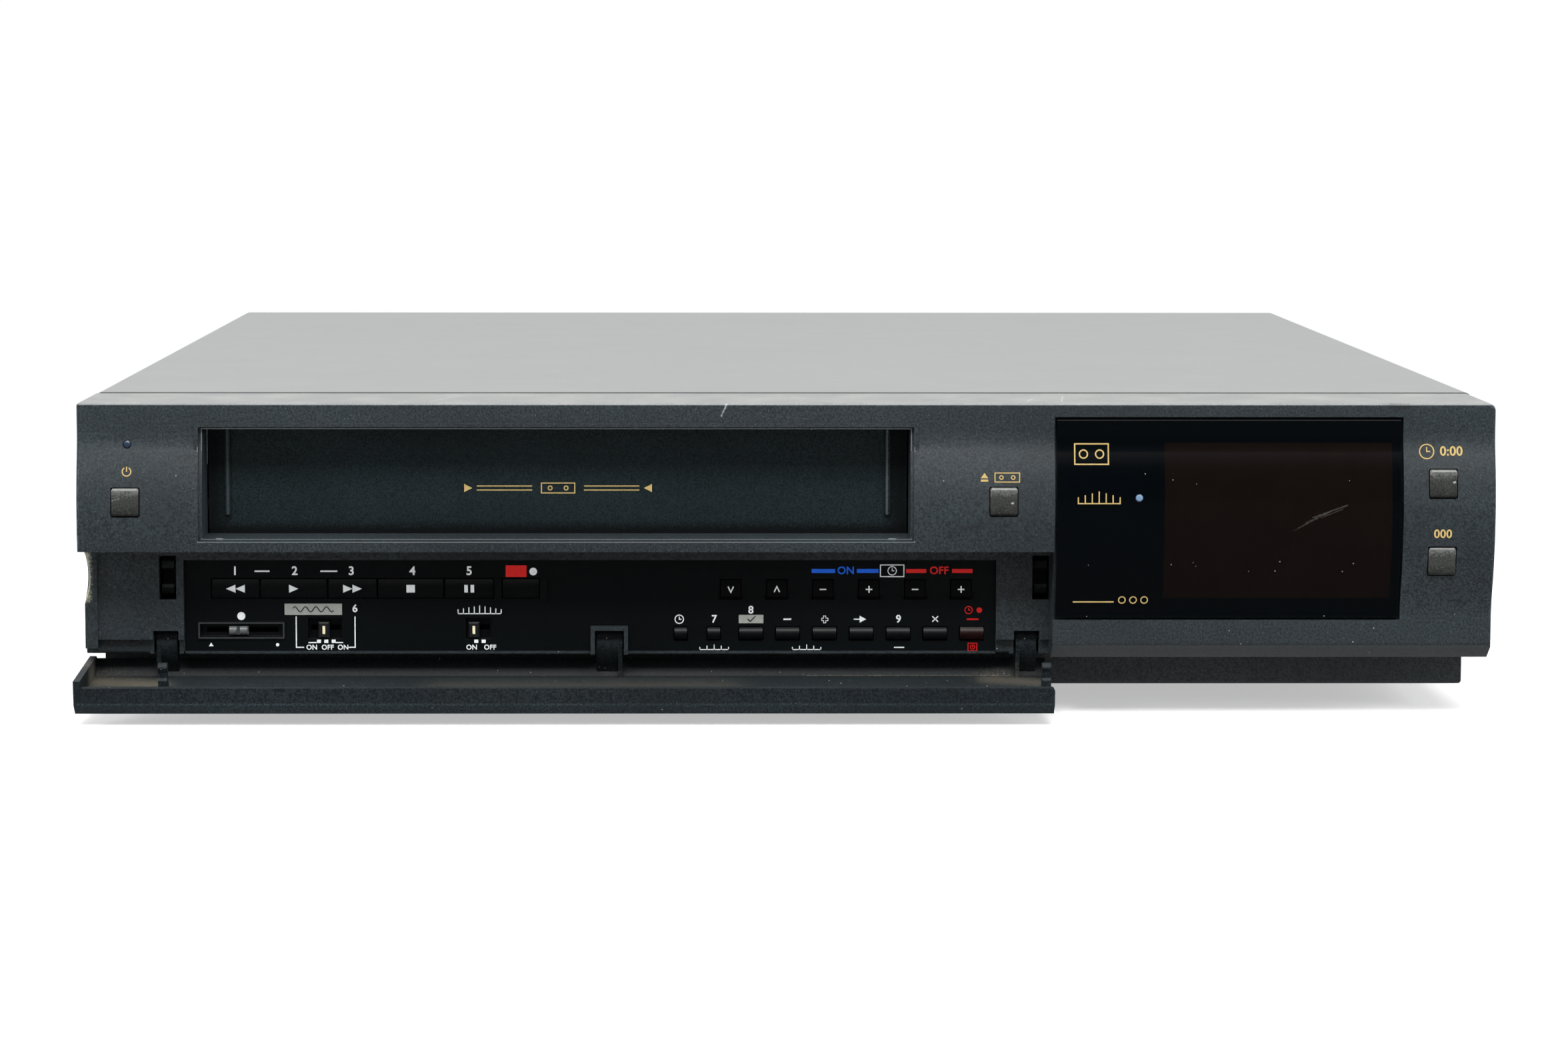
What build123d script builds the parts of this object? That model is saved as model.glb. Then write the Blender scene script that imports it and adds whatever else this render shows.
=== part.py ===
"""Front-loading video cassette recorder, as separate pieces: moulded fascia with a drop-down control
door and a cassette flap, push buttons, keys and slide switches, steel cover, chassis tray, tape deck,
boards, and a rear panel with its sockets.

Millimetres. +X is to the right of someone facing the recorder, +Y runs to its back and +Z is up. The
origin is on the floor, under the middle of the recorder with its control door hanging open.
"""

from build123d import *
import os
from math import cos, radians, sin, sqrt

# Overall size
WIDTH = 380.0
HEIGHT = 86.0
DEPTH = 346.4
FEET_HEIGHT = 6.2
FRONT = -170.7  # y of the fascia's top front edge
HALF = WIDTH / 2
REAR = FRONT + DEPTH

# Fascia: its face stands out furthest at FACE_MID, in an arc that blends into an upright band above
# and another below, with a chamfer under the lower band
FACE_LOW = 20.2
FACE_MID = 54.5
FACE_BULGE = 3.6
FACE_CREST = 84.0
FACE_BLEND = 24.0
FACE_TURN = {"up": 12.5, "down": 14.0}
FASCIA_LOW = 16.2
FASCIA_TOP = HEIGHT - 0.25
FASCIA_CHAMFER = 4.5
FASCIA_DEPTH = 28.0
FASCIA_BACK = FRONT + FASCIA_DEPTH
WALL = 2.5
LIP_ROUND = 1.0

# Recess behind the control door, under the slot section
SPLIT_X = 71.7
SLOT_SECTION_LOW = 45.9
SIDE_RIM = FRONT + 8.0
BLOCK_FACE = FRONT + 8.5
BLOCK_BACK = BLOCK_FACE + WALL
BLOCK_LOW = 20.3
LIP_FACE = FRONT + 10.2

# Cassette slot and its flap
SLOT_X = (-156.5, 33.1)
SLOT_Z = (49.5, 78.6)
SLOT_FRAME = 0.9
SLOT_MIDDLE = (SLOT_X[0] + SLOT_X[1]) / 2
FLAP_FACE = FRONT + 8.5
FLAP_THICK = 2.1
FLAP_AXIS_Y = FLAP_FACE + FLAP_THICK
FLAP_AXIS_Z = 79.4
FLAP_FOOT = SLOT_Z[0] - 0.5
FLAP_PIN_RADIUS = 1.2

# Display window
WINDOW_X = (72.3, 164.6)
WINDOW_Z = (27.7, 81.5)
WINDOW_THICK = 2.4
WINDOW_GAP = 0.6

# Push buttons on the face: name, centre x, centre z
BUTTONS = (
    ("power_button", -176.9, 59.3),
    ("eject_button", 58.0, 59.5),
    ("counter_button", 175.8, 64.3),
    ("reset_button", 175.8, 43.4),
)
BUTTON_HOLE = (7.8, 8.1)
BUTTON_GAP = 0.28
LAMP_RADIUS = 1.0
POWER_LAMP = (-176.5, 74.7)
TRACKING_LAMP = (94.3, 60.5)

# Control panel and the keys in it
PANEL_X = (-163.3, 57.2)
PANEL_Z = (16.9, 42.1)
PANEL_FACE = FRONT + 10.4
PANEL_THICK = 2.0
PANEL_BACK = PANEL_FACE + PANEL_THICK
BOARD_FACE = FRONT + 21.5
BOARD_THICK = 1.6
SWITCH_FACE = BOARD_FACE - 3.5
KEY_GAP = 0.25
TRANSPORT_Z = (31.2, 36.9)
TRANSPORT_KEYS = (
    ("rewind_key", -156.0, -142.8),
    ("play_key", -142.8, -124.4),
    ("forward_key", -124.4, -110.9),
    ("stop_key", -110.9, -92.8),
    ("pause_key", -92.8, -79.1),
    ("record_key", -77.2, -66.7),
)
GUARD_WIDTH = 1.9
SMALL_KEYS = (
    "channel_down_key",
    "channel_up_key",
    "on_minus_key",
    "on_plus_key",
    "off_minus_key",
    "off_plus_key",
)
SMALL_KEY_FIRST = -14.9
SMALL_KEY_PITCH = 12.53
SMALL_KEY_WIDTH = 5.4
SMALL_KEY_Z = (31.0, 36.6)
LOWER_KEYS = (
    ("clock_key", -28.5, 3.4),
    ("preset_key", -19.5, 3.4),
    ("program_key", -9.4, 6.3),
    ("tracking_minus_key", 0.6, 6.3),
    ("tracking_plus_key", 10.6, 6.3),
    ("next_key", 20.65, 6.3),
    ("tuning_key", 30.7, 6.3),
    ("clear_key", 40.7, 6.3),
    ("timer_key", 50.75, 6.3),
)
LOWER_KEY_Z = (19.7, 23.7)
SLIDER_Z = (21.0, 24.2)
SLIDER_X = (-159.0, -136.9)
SLIDER_KNOB_X = -148.7
SWITCH_Z = (20.1, 26.0)
SWITCHES = (
    ("filter_switch", (-129.9, -120.6), -125.6),
    ("tracking_switch", (-87.0, -80.1), -84.8),
)
SWITCH_KNOB = (3.0, 4.4)
POCKET_DEPTH = 2.4

# Control door, its hinge and its latches
DOOR_X = (-190.0, 71.3)
DOOR_TOP = 45.4
DOOR_SKIN = 2.0
DOOR_LIP = 4.7
DOOR_END = 6.6
DOOR_OPEN = 95.0
HINGE_Y = FRONT + 12.4
HINGE_Z = 20.4
HINGE_PIN_RADIUS = 1.0
HINGE_BARREL = 1.7
RUNNING = 0.06  # radial clearance of a pin turning in a bore
ARM_X = (-168.3, -47.9, 65.6)
ARM_WIDTH = (5.6, 7.0, 5.6)
ARM_THICK = 1.7
ARM_RIB = 1.1
ARM_RIB_SIDE = (-1, 1, -1)
NOTCH_WIDTH = (6.9, 7.9, 6.9)
NOTCH_TOP = 22.7
EAR_THICK = 1.15
EAR_FACE = (LIP_FACE, BLOCK_FACE, LIP_FACE)
LATCH_X = (-167.6, 69.3)
LATCH_Z = 37.3
LATCH_SLOT = (4.6, 12.0)

# Chassis, cover and rear panel
BASE_HALF = 186.5
BASE_FRONT = FRONT + 19.0
BASE_WALL = 2.0
BASE_FLOOR = FEET_HEIGHT + BASE_WALL
BASE_TOP = 34.0
SHEET = 1.0
COVER_FRONT = FASCIA_BACK + 0.3
COVER_ROUND = 2.0
REAR_PANEL_BACK = REAR - SHEET - 0.3
SCREW_RADIUS = 1.5
COVER_SCREW_X = (-150.0, 0.0, 150.0)
COVER_SCREW_Z = 79.5

# Rear sockets
AERIAL_X = (-158.0, -136.0)
AERIAL_Z = 52.0
AERIAL_RADIUS = 4.75
SCART_X = -84.0
SCART_Z = 58.0
PHONO_X = (-104.0, -90.0, -76.0, -62.0)
PHONO_Z = 32.0
PHONO_RADIUS = 4.15
SOCKET_LENGTH = 8.0
INLET_X = 150.0
INLET_Z = 44.0

# Tape deck
DECK_X = (-163.0, 40.0)
DECK_Y = (FRONT + 44.0, FRONT + 292.0)
DECK_TOP = 22.0
DECK_SHEET = 1.5
CASSETTE = (188.0, 103.0, 25.0)
CARRIAGE_Y = FRONT + 43.0
CARRIAGE_FLOOR = 50.4
CARRIAGE_HEIGHT = 26.4
CARRIAGE_TRAVEL = 52.0
REEL_Y = FRONT + 137.0
REEL_SPACING = 92.0
DRUM_X = SLOT_MIDDLE - 6.0
DRUM_Y = FRONT + 241.0
DRUM_RADIUS = 31.0
DRUM_TILT = 5.9
CAPSTAN_X = SLOT_MIDDLE + 52.0
CAPSTAN_Y = FRONT + 206.0
PINCH_X = SLOT_MIDDLE + 76.0
PINCH_Y = FRONT + 214.0

ALONG = {"x": (0, 90, 0), "y": (-90, 0, 0), "z": (0, 0, 0)}


def face_y(z, depth=0.0):
    """y at height z of the surface that lies depth behind the fascia's face."""
    turn = radians(FACE_TURN["up" if z > FACE_MID else "down"])
    rise = abs(z - FACE_MID)
    crest_centre = FRONT - FACE_BULGE + FACE_CREST
    if rise <= (FACE_CREST - depth) * sin(turn):
        return crest_centre - sqrt((FACE_CREST - depth) ** 2 - rise**2)
    blend_centre = crest_centre - (FACE_CREST + FACE_BLEND) * cos(turn)
    short = max(0.0, (FACE_CREST + FACE_BLEND) * sin(turn) - rise)
    return blend_centre + sqrt((FACE_BLEND + depth) ** 2 - short**2)


def face_section(depth, low, high):
    """Draws the section of that surface between two heights, as the arcs and lines it is made of."""
    stops = {low, high}
    for side, name in ((1, "up"), (-1, "down")):
        turn = radians(FACE_TURN[name])
        stops.add(FACE_MID + side * (FACE_CREST - depth) * sin(turn))
        stops.add(FACE_MID + side * (FACE_CREST + FACE_BLEND) * sin(turn))
    stops = sorted(stop for stop in stops if low <= stop <= high)
    for start, end in zip(stops, stops[1:]):
        points = [(face_y(level, depth), level) for level in (start, (start + end) / 2, end)]
        if abs(points[2][0] - points[0][0]) < 0.001 and abs(points[1][0] - points[0][0]) < 0.001:
            Line(points[0], points[2])
        else:
            ThreePointArc(*points)


def face_slab(x, z, depth, flat_y, mode=Mode.ADD):
    """Solid between the surface depth behind the fascia's face and an upright plane at flat_y."""
    with BuildSketch(Plane.YZ.offset(x[0])) as section:
        with BuildLine():
            face_section(depth, *z)
            Polyline(
                (face_y(z[1], depth), z[1]),
                (flat_y, z[1]),
                (flat_y, z[0]),
                (face_y(z[0], depth), z[0]),
            )
        make_face()
    extrude(section.sketch, amount=x[1] - x[0], mode=mode)


def block(x, y, z, mode=Mode.ADD):
    """Box between two values along each axis."""
    with Locations(((x[0] + x[1]) / 2, (y[0] + y[1]) / 2, (z[0] + z[1]) / 2)):
        Box(x[1] - x[0], y[1] - y[0], z[1] - z[0], mode=mode)


def rod(axis, start, radius, length, mode=Mode.ADD):
    """Round bar that runs from start, for length, along the named axis."""
    with Locations(Location(start, ALONG[axis])):
        Cylinder(radius, length, align=(Align.CENTER, Align.CENTER, Align.MIN), mode=mode)


def around(centre, width):
    """Two ends of a span of the given width about its centre."""
    return centre - width / 2, centre + width / 2


def upright(y):
    """Plane across the recorder at y, seen from the front; extruding by a negative amount goes back."""
    return Plane.XZ.offset(-y)


def save(piece, name):
    """Labels a finished piece and writes its STEP file."""
    piece.label = name
    export_step(piece, f"parts/{name}.step")


def small_key_x(number):
    """Centre x of one key of the upper right row."""
    return SMALL_KEY_FIRST + number * SMALL_KEY_PITCH


os.makedirs("parts", exist_ok=True)

# ---------------------------------------------------------------- fascia
with BuildPart() as front_panel:
    with BuildSketch(Plane.YZ.offset(-HALF)):
        with BuildLine():
            face_section(0.0, FACE_LOW, FASCIA_TOP)
            Polyline(
                (face_y(FASCIA_TOP), FASCIA_TOP),
                (FASCIA_BACK, FASCIA_TOP),
                (FASCIA_BACK, FASCIA_LOW),
                (FRONT + FASCIA_CHAMFER, FASCIA_LOW),
                (face_y(FACE_LOW), FACE_LOW),
            )
        make_face()
    extrude(amount=WIDTH)
    for side, corner_round in ((0, 0.8), (-1, 2.0)):
        top_edges = front_panel.edges().filter_by(Axis.Y).group_by(Axis.Z)[-1]
        fillet(top_edges.sort_by(Axis.X)[side], radius=corner_round)
    top_front = front_panel.edges().filter_by(Axis.X).group_by(Axis.Z)[-1].sort_by(Axis.Y)[0]
    fillet(top_front, radius=0.7)

    # Hollow behind the face, and deeper behind the window
    inside = (-HALF + WALL, HALF - WALL)
    levels = (FASCIA_LOW + WALL, FASCIA_TOP - WALL)
    window_floor = WINDOW_THICK + WALL
    hollow_back = FRONT + 14.0
    slot_levels = (SLOT_SECTION_LOW + WALL, levels[1])
    face_slab((inside[0], SPLIT_X - WALL), slot_levels, WALL, hollow_back, Mode.SUBTRACT)
    face_slab((SPLIT_X + WALL, WINDOW_X[1] + 3), levels, window_floor, hollow_back, Mode.SUBTRACT)
    face_slab((WINDOW_X[1] + 3, inside[1]), levels, WALL, hollow_back, Mode.SUBTRACT)
    block(inside, (BLOCK_BACK, FASCIA_BACK + 1), levels, Mode.SUBTRACT)

    # Recess behind the door, stepped back along its foot
    with BuildSketch(Plane.YZ.offset(-HALF - 1)):
        with BuildLine():
            Polyline(
                (LIP_FACE, FASCIA_LOW + LIP_ROUND),
                (LIP_FACE, BLOCK_LOW),
                (BLOCK_FACE, BLOCK_LOW),
                (BLOCK_FACE, SLOT_SECTION_LOW),
                (FRONT - 6, SLOT_SECTION_LOW),
                (FRONT - 6, FASCIA_LOW - 1),
                (LIP_FACE + LIP_ROUND, FASCIA_LOW - 1),
                (LIP_FACE + LIP_ROUND, FASCIA_LOW),
            )
            RadiusArc(
                (LIP_FACE + LIP_ROUND, FASCIA_LOW),
                (LIP_FACE, FASCIA_LOW + LIP_ROUND),
                LIP_ROUND,
            )
        make_face()
    extrude(amount=SPLIT_X + HALF + 1, mode=Mode.SUBTRACT)
    block(PANEL_X, (LIP_FACE, BLOCK_BACK), (FASCIA_LOW, PANEL_Z[0] + 0.5))
    block((-HALF, -HALF + 3.4), (SIDE_RIM, FASCIA_BACK), (FASCIA_LOW + 1.8, SLOT_SECTION_LOW + 1))
    rim_scoop = 1.6
    scoop_radius = 16.3
    scoop_length = 5.7
    with Locations(Location((-HALF - scoop_radius + rim_scoop, SIDE_RIM, LATCH_Z), ALONG["y"])):
        Cone(
            scoop_radius,
            scoop_radius - rim_scoop,
            scoop_length,
            align=(Align.CENTER, Align.CENTER, Align.MIN),
            mode=Mode.SUBTRACT,
        )

    # Cassette slot: a stepped frame and a tunnel back to the flap
    tunnel_back = FLAP_FACE - 0.4
    block(
        (SLOT_X[0] - 2.2, SLOT_X[1] + 2.2),
        (FRONT - 1.5, tunnel_back),
        (SLOT_Z[0] - 2.0, SLOT_Z[1] + 1.8),
    )
    face_slab(
        (SLOT_X[0] - 1, SLOT_X[1] + 0.9),
        (SLOT_Z[0] - 0.7, SLOT_Z[1] + 0.8),
        SLOT_FRAME,
        FRONT - 8,
        Mode.SUBTRACT,
    )
    block(SLOT_X, (FRONT - 6, tunnel_back + 1), SLOT_Z, Mode.SUBTRACT)
    for ear_x in (around(SLOT_X[0] - 1.9, 2.0), around(SLOT_X[1] + 1.9, 2.0)):
        block(ear_x, (FRONT + 6, FLAP_AXIS_Y + 3.2), (FLAP_AXIS_Z - 3.6, FASCIA_TOP - WALL))
    rod(
        "x",
        (SLOT_X[0] - 4, FLAP_AXIS_Y, FLAP_AXIS_Z),
        FLAP_PIN_RADIUS + RUNNING,
        SLOT_X[1] - SLOT_X[0] + 8,
        Mode.SUBTRACT,
    )

    # Window pocket, its through opening, and the holes for buttons and lamp
    face_slab(
        (SPLIT_X, WINDOW_X[1] + WINDOW_GAP),
        (WINDOW_Z[0] - WINDOW_GAP, WINDOW_Z[1] + WINDOW_GAP),
        WINDOW_THICK + 0.2,
        FRONT - 8,
        Mode.SUBTRACT,
    )
    block((84.0, 161.0), (FRONT - 2, FRONT + 6), (33.6, 75.0), Mode.SUBTRACT)
    for _, button_x, button_z in BUTTONS:
        with BuildSketch(upright(FRONT - 6)):
            with Locations((button_x, button_z)):
                RectangleRounded(*BUTTON_HOLE, 0.6)
        extrude(amount=-16, mode=Mode.SUBTRACT)
    rod("y", (POWER_LAMP[0], FRONT - 6, POWER_LAMP[1]), LAMP_RADIUS + 0.15, 16, Mode.SUBTRACT)

    # Opening for the control panel, latch slots and hinge notches
    block(PANEL_X, (BLOCK_FACE - 1, PANEL_BACK + 0.1), PANEL_Z, Mode.SUBTRACT)
    for latch_x in LATCH_X:
        block(
            around(latch_x, LATCH_SLOT[0]),
            (BLOCK_FACE - 1, BLOCK_BACK + 1),
            around(LATCH_Z, LATCH_SLOT[1]),
            Mode.SUBTRACT,
        )
    for arm_x, notch, ear_face in zip(ARM_X, NOTCH_WIDTH, EAR_FACE):
        block(
            around(arm_x, notch + 2 * EAR_THICK),
            (ear_face, HINGE_Y + 3.4),
            (FASCIA_LOW, NOTCH_TOP + 1.2),
        )
        block(
            around(arm_x, notch),
            (BLOCK_FACE - 1, FASCIA_BACK + 1),
            (FASCIA_LOW - 1, NOTCH_TOP),
            Mode.SUBTRACT,
        )
        rod(
            "x",
            (arm_x - notch / 2 - EAR_THICK - 1, HINGE_Y, HINGE_Z),
            HINGE_PIN_RADIUS + RUNNING,
            notch + 2 * EAR_THICK + 2,
            Mode.SUBTRACT,
        )

    # Tongues that slip under the cover
    for tongue_x in (-150.0, -50.0, 50.0, 150.0):
        block(
            around(tongue_x, 30.0),
            (FASCIA_BACK - 6, FASCIA_BACK + 7),
            (FASCIA_TOP - WALL - 0.6, HEIGHT - SHEET - 0.3),
        )
save(front_panel.part, "front_panel")

# ---------------------------------------------------------------- cassette flap
flap_x = (SLOT_X[0] + 0.4, SLOT_X[1] - 0.4)
with BuildPart() as cassette_flap:
    with BuildSketch(Plane.YZ.offset(flap_x[0])):
        with BuildLine():
            # The foot hangs a little below the slot's floor, just behind its back edge
            Line((FLAP_FACE, FLAP_AXIS_Z), (FLAP_FACE, FLAP_FOOT + 0.4))
            RadiusArc((FLAP_FACE, FLAP_FOOT + 0.4), (FLAP_AXIS_Y - 0.4, FLAP_FOOT), -3.0)
            Line((FLAP_AXIS_Y - 0.4, FLAP_FOOT), (FLAP_AXIS_Y, FLAP_AXIS_Z - FLAP_THICK))
            Line(
                (FLAP_AXIS_Y, FLAP_AXIS_Z - FLAP_THICK),
                (FLAP_AXIS_Y + FLAP_THICK, FLAP_AXIS_Z),
            )
            ThreePointArc(
                (FLAP_AXIS_Y + FLAP_THICK, FLAP_AXIS_Z),
                (FLAP_AXIS_Y, FLAP_AXIS_Z + FLAP_THICK),
                (FLAP_FACE, FLAP_AXIS_Z),
            )
        make_face()
    extrude(amount=flap_x[1] - flap_x[0])
    # Two upright runners that guide the cassette, with rounded feet
    for runner_x in (SLOT_MIDDLE - 89.2, SLOT_MIDDLE + 89.2):
        with BuildSketch(upright(FLAP_FACE)):
            with Locations((runner_x, 66.2)):
                SlotOverall(23.2, 1.5, rotation=90)
        extrude(amount=0.9)
    # Rails along the inner side stop it from bowing
    for rib_z in (58.0, 68.0):
        block((flap_x[0] + 6, flap_x[1] - 6), (FLAP_AXIS_Y - 0.5, FLAP_AXIS_Y + 1.4), around(rib_z, 1.2))
    for pin_x in (flap_x[0] - 1.9, flap_x[1] - 0.1):
        rod("x", (pin_x, FLAP_AXIS_Y, FLAP_AXIS_Z), FLAP_PIN_RADIUS, 2.0)
save(cassette_flap.part, "cassette_flap")

# ---------------------------------------------------------------- display window, tube and lamps
with BuildPart() as display_window:
    with BuildSketch(Plane.YZ.offset(WINDOW_X[0])):
        with BuildLine():
            face_section(0.0, *WINDOW_Z)
            Line((face_y(WINDOW_Z[1]), WINDOW_Z[1]), (face_y(WINDOW_Z[1], WINDOW_THICK), WINDOW_Z[1]))
            face_section(WINDOW_THICK, *WINDOW_Z)
            Line((face_y(WINDOW_Z[0], WINDOW_THICK), WINDOW_Z[0]), (face_y(WINDOW_Z[0]), WINDOW_Z[0]))
        make_face()
    extrude(amount=WINDOW_X[1] - WINDOW_X[0])
    for height in (0, -1):
        rim = display_window.edges().filter_by(Axis.X).group_by(Axis.Z)[height].sort_by(Axis.Y)[0]
        chamfer(rim, 0.3)
    rod(
        "y",
        (TRACKING_LAMP[0], FRONT - 6, TRACKING_LAMP[1]),
        LAMP_RADIUS + 0.12,
        12,
        Mode.SUBTRACT,
    )
save(display_window.part, "display_window")

with BuildPart() as display_tube:
    tube_x = (103.0, 158.0)
    tube_y = (FRONT + 7.0, FRONT + 12.5)
    block(tube_x, tube_y, (42.0, 68.0))
    chamfer(display_tube.edges().group_by(Axis.Y)[0], 0.8)
    rod("x", (tube_x[1], tube_y[0] + 3, 55.0), 1.6, 3.0)
    for lead_number in range(9):
        lead_x = around(106.0 + 6.1 * lead_number, 0.6)
        block(lead_x, around(tube_y[1] - 0.6, 0.6), (40.5, 42.0))
save(display_tube.part, "display_tube")

for lamp_name, (lamp_x, lamp_z) in (("power_lamp", POWER_LAMP), ("tracking_lamp", TRACKING_LAMP)):
    lens_y = face_y(lamp_z) - 0.1
    with BuildPart() as lamp:
        with BuildSketch(Plane.YZ.offset(lamp_x)):
            with BuildLine():
                Polyline(
                    (lens_y + 7, lamp_z),
                    (lens_y, lamp_z),
                    (lens_y, lamp_z + LAMP_RADIUS - 0.4),
                    (lens_y + 0.3, lamp_z + LAMP_RADIUS),
                    (lens_y + 5.6, lamp_z + LAMP_RADIUS),
                    (lens_y + 5.6, lamp_z + LAMP_RADIUS + 0.4),
                    (lens_y + 7, lamp_z + LAMP_RADIUS + 0.4),
                    (lens_y + 7, lamp_z),
                )
            make_face()
        revolve(axis=Axis((lamp_x, 0, lamp_z), (0, 1, 0)))
    save(lamp.part, lamp_name)

# ---------------------------------------------------------------- push buttons
for button_name, button_x, button_z in BUTTONS:
    cap_width = BUTTON_HOLE[0] - 2 * BUTTON_GAP
    cap_height = BUTTON_HOLE[1] - 2 * BUTTON_GAP
    cap_low, cap_high = around(button_z, cap_height)
    cap_face = face_y(button_z) - 0.4
    flange_low, flange_high = cap_low - 1.2, cap_high + 1.2
    flange_y = max(face_y(flange_low, WALL), face_y(flange_high, WALL)) + 0.3
    stem_end = SWITCH_FACE - 0.3
    with BuildPart() as button:
        with BuildSketch(Plane.YZ.offset(button_x - cap_width / 2)):
            with BuildLine():
                # Slightly hollow cap with rounded upper and lower edges
                ThreePointArc(
                    (cap_face, cap_low + 0.7),
                    (cap_face + 0.3, button_z),
                    (cap_face, cap_high - 0.7),
                )
                RadiusArc((cap_face, cap_high - 0.7), (cap_face + 0.7, cap_high), 0.7)
                RadiusArc((cap_face + 0.7, cap_low), (cap_face, cap_low + 0.7), 0.7)
                Polyline(
                    (cap_face + 0.7, cap_high),
                    (flange_y, cap_high),
                    (flange_y, flange_high),
                    (flange_y + 1, flange_high),
                    (flange_y + 1, flange_low),
                    (flange_y, flange_low),
                    (flange_y, cap_low),
                    (cap_face + 0.7, cap_low),
                )
            make_face()
        extrude(amount=cap_width)
        chamfer(button.faces().sort_by(Axis.Y)[0].edges().filter_by(Axis.X, reverse=True), 0.35)
        block(around(button_x, 3.0), (flange_y, stem_end), around(button_z, 3.0))
    save(button.part, button_name)

# ---------------------------------------------------------------- control panel
with BuildPart() as control_panel:
    block(around(sum(PANEL_X) / 2, PANEL_X[1] - PANEL_X[0] - 0.3), (PANEL_FACE, PANEL_BACK), PANEL_Z)
    # Ledge behind the fascia's block, along the top and down the upper ends
    ledge = (BLOCK_BACK + 0.1, PANEL_BACK)
    block((PANEL_X[0] - 1.5, PANEL_X[1] + 1.5), ledge, (26.0, PANEL_Z[1] + 1.4))
    # Clearance for the middle hinge housing
    block(
        around(ARM_X[1], NOTCH_WIDTH[1] + 2 * EAR_THICK + 0.3),
        (PANEL_FACE - 1, PANEL_BACK + 1),
        (PANEL_Z[0] - 1, NOTCH_TOP + 1.4),
        Mode.SUBTRACT,
    )
    # Transport keys: one opening for five of them, one for the record key, with guards beside it
    through = (PANEL_FACE - 1, PANEL_BACK + 1)
    block((TRANSPORT_KEYS[0][1] - 0.2, TRANSPORT_KEYS[4][2]), through, TRANSPORT_Z, Mode.SUBTRACT)
    block((TRANSPORT_KEYS[5][1], TRANSPORT_KEYS[5][2]), through, TRANSPORT_Z, Mode.SUBTRACT)
    for guard_x in (TRANSPORT_KEYS[4][2] + GUARD_WIDTH / 2, TRANSPORT_KEYS[5][2] + GUARD_WIDTH / 2):
        block(around(guard_x, GUARD_WIDTH), (PANEL_FACE - 1.3, PANEL_BACK), TRANSPORT_Z)
    # Upper row of small keys, each opening wider at its foot
    for number in range(len(SMALL_KEYS)):
        key_x = small_key_x(number)
        block(around(key_x, SMALL_KEY_WIDTH + 0.5), through, SMALL_KEY_Z, Mode.SUBTRACT)
        block(
            around(key_x, SMALL_KEY_WIDTH + 1.6),
            (PANEL_FACE - 1, PANEL_FACE + 0.8),
            (SMALL_KEY_Z[0], SMALL_KEY_Z[0] + 1.2),
            Mode.SUBTRACT,
        )
    for _, key_x, key_width in LOWER_KEYS:
        block(around(key_x, key_width + 0.5), through, LOWER_KEY_Z, Mode.SUBTRACT)
    # Raised frame and pocket of the picture slider
    slider_frame = 0.9
    with BuildSketch(upright(PANEL_FACE)):
        with Locations((sum(SLIDER_X) / 2, sum(SLIDER_Z) / 2)):
            Rectangle(
                SLIDER_X[1] - SLIDER_X[0] + 2 * slider_frame,
                SLIDER_Z[1] - SLIDER_Z[0] + 2 * slider_frame,
            )
            Rectangle(SLIDER_X[1] - SLIDER_X[0], SLIDER_Z[1] - SLIDER_Z[0], mode=Mode.SUBTRACT)
    extrude(amount=0.4)
    block(SLIDER_X, (PANEL_FACE - 1, PANEL_FACE + 1.2), SLIDER_Z, Mode.SUBTRACT)
    block((-157.5, -138.0), through, around(sum(SLIDER_Z) / 2, 1.4), Mode.SUBTRACT)
    # Deeper pockets of the two slide switches, with a slit for each knob's blade
    for _, pocket_x, _ in SWITCHES:
        block(
            (pocket_x[0] - 1, pocket_x[1] + 1),
            (PANEL_BACK - 0.5, PANEL_FACE + POCKET_DEPTH + 1),
            (SWITCH_Z[0] - 1, SWITCH_Z[1] + 1),
        )
        block(pocket_x, (PANEL_FACE - 1, PANEL_FACE + POCKET_DEPTH), SWITCH_Z, Mode.SUBTRACT)
        block(
            (pocket_x[0] + 0.6, pocket_x[1] - 0.6),
            (PANEL_FACE, PANEL_FACE + POCKET_DEPTH + 2),
            around(sum(SWITCH_Z) / 2, 1.6),
            Mode.SUBTRACT,
        )
save(control_panel.part, "control_panel")

# ---------------------------------------------------------------- keys in the panel
flange_front = PANEL_BACK + 0.3
flange_back = flange_front + 1.0
stem_end = SWITCH_FACE - 0.3
for key_name, left, right in TRANSPORT_KEYS:
    low, high = TRANSPORT_Z[0] + KEY_GAP, TRANSPORT_Z[1] - KEY_GAP
    middle = (low + high) / 2
    cap_face = PANEL_FACE - 0.7
    with BuildPart() as key:
        with BuildSketch(Plane.YZ.offset(left + KEY_GAP / 2)):
            with BuildLine():
                ThreePointArc((cap_face + 0.7, low), (cap_face, middle - 0.6), (cap_face + 0.3, high))
                Polyline(
                    (cap_face + 0.3, high),
                    (flange_front, high),
                    (flange_front, high + 0.9),
                    (flange_back, high + 0.9),
                    (flange_back, low - 0.9),
                    (flange_front, low - 0.9),
                    (flange_front, low),
                    (cap_face + 0.7, low),
                )
            make_face()
        extrude(amount=right - left - KEY_GAP)
        chamfer(key.faces().sort_by(Axis.Y)[0].edges().filter_by(Axis.X, reverse=True), 0.25)
        block(around((left + right) / 2, 2.8), (flange_front, stem_end), around(middle, 2.8))
    save(key.part, key_name)

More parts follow.
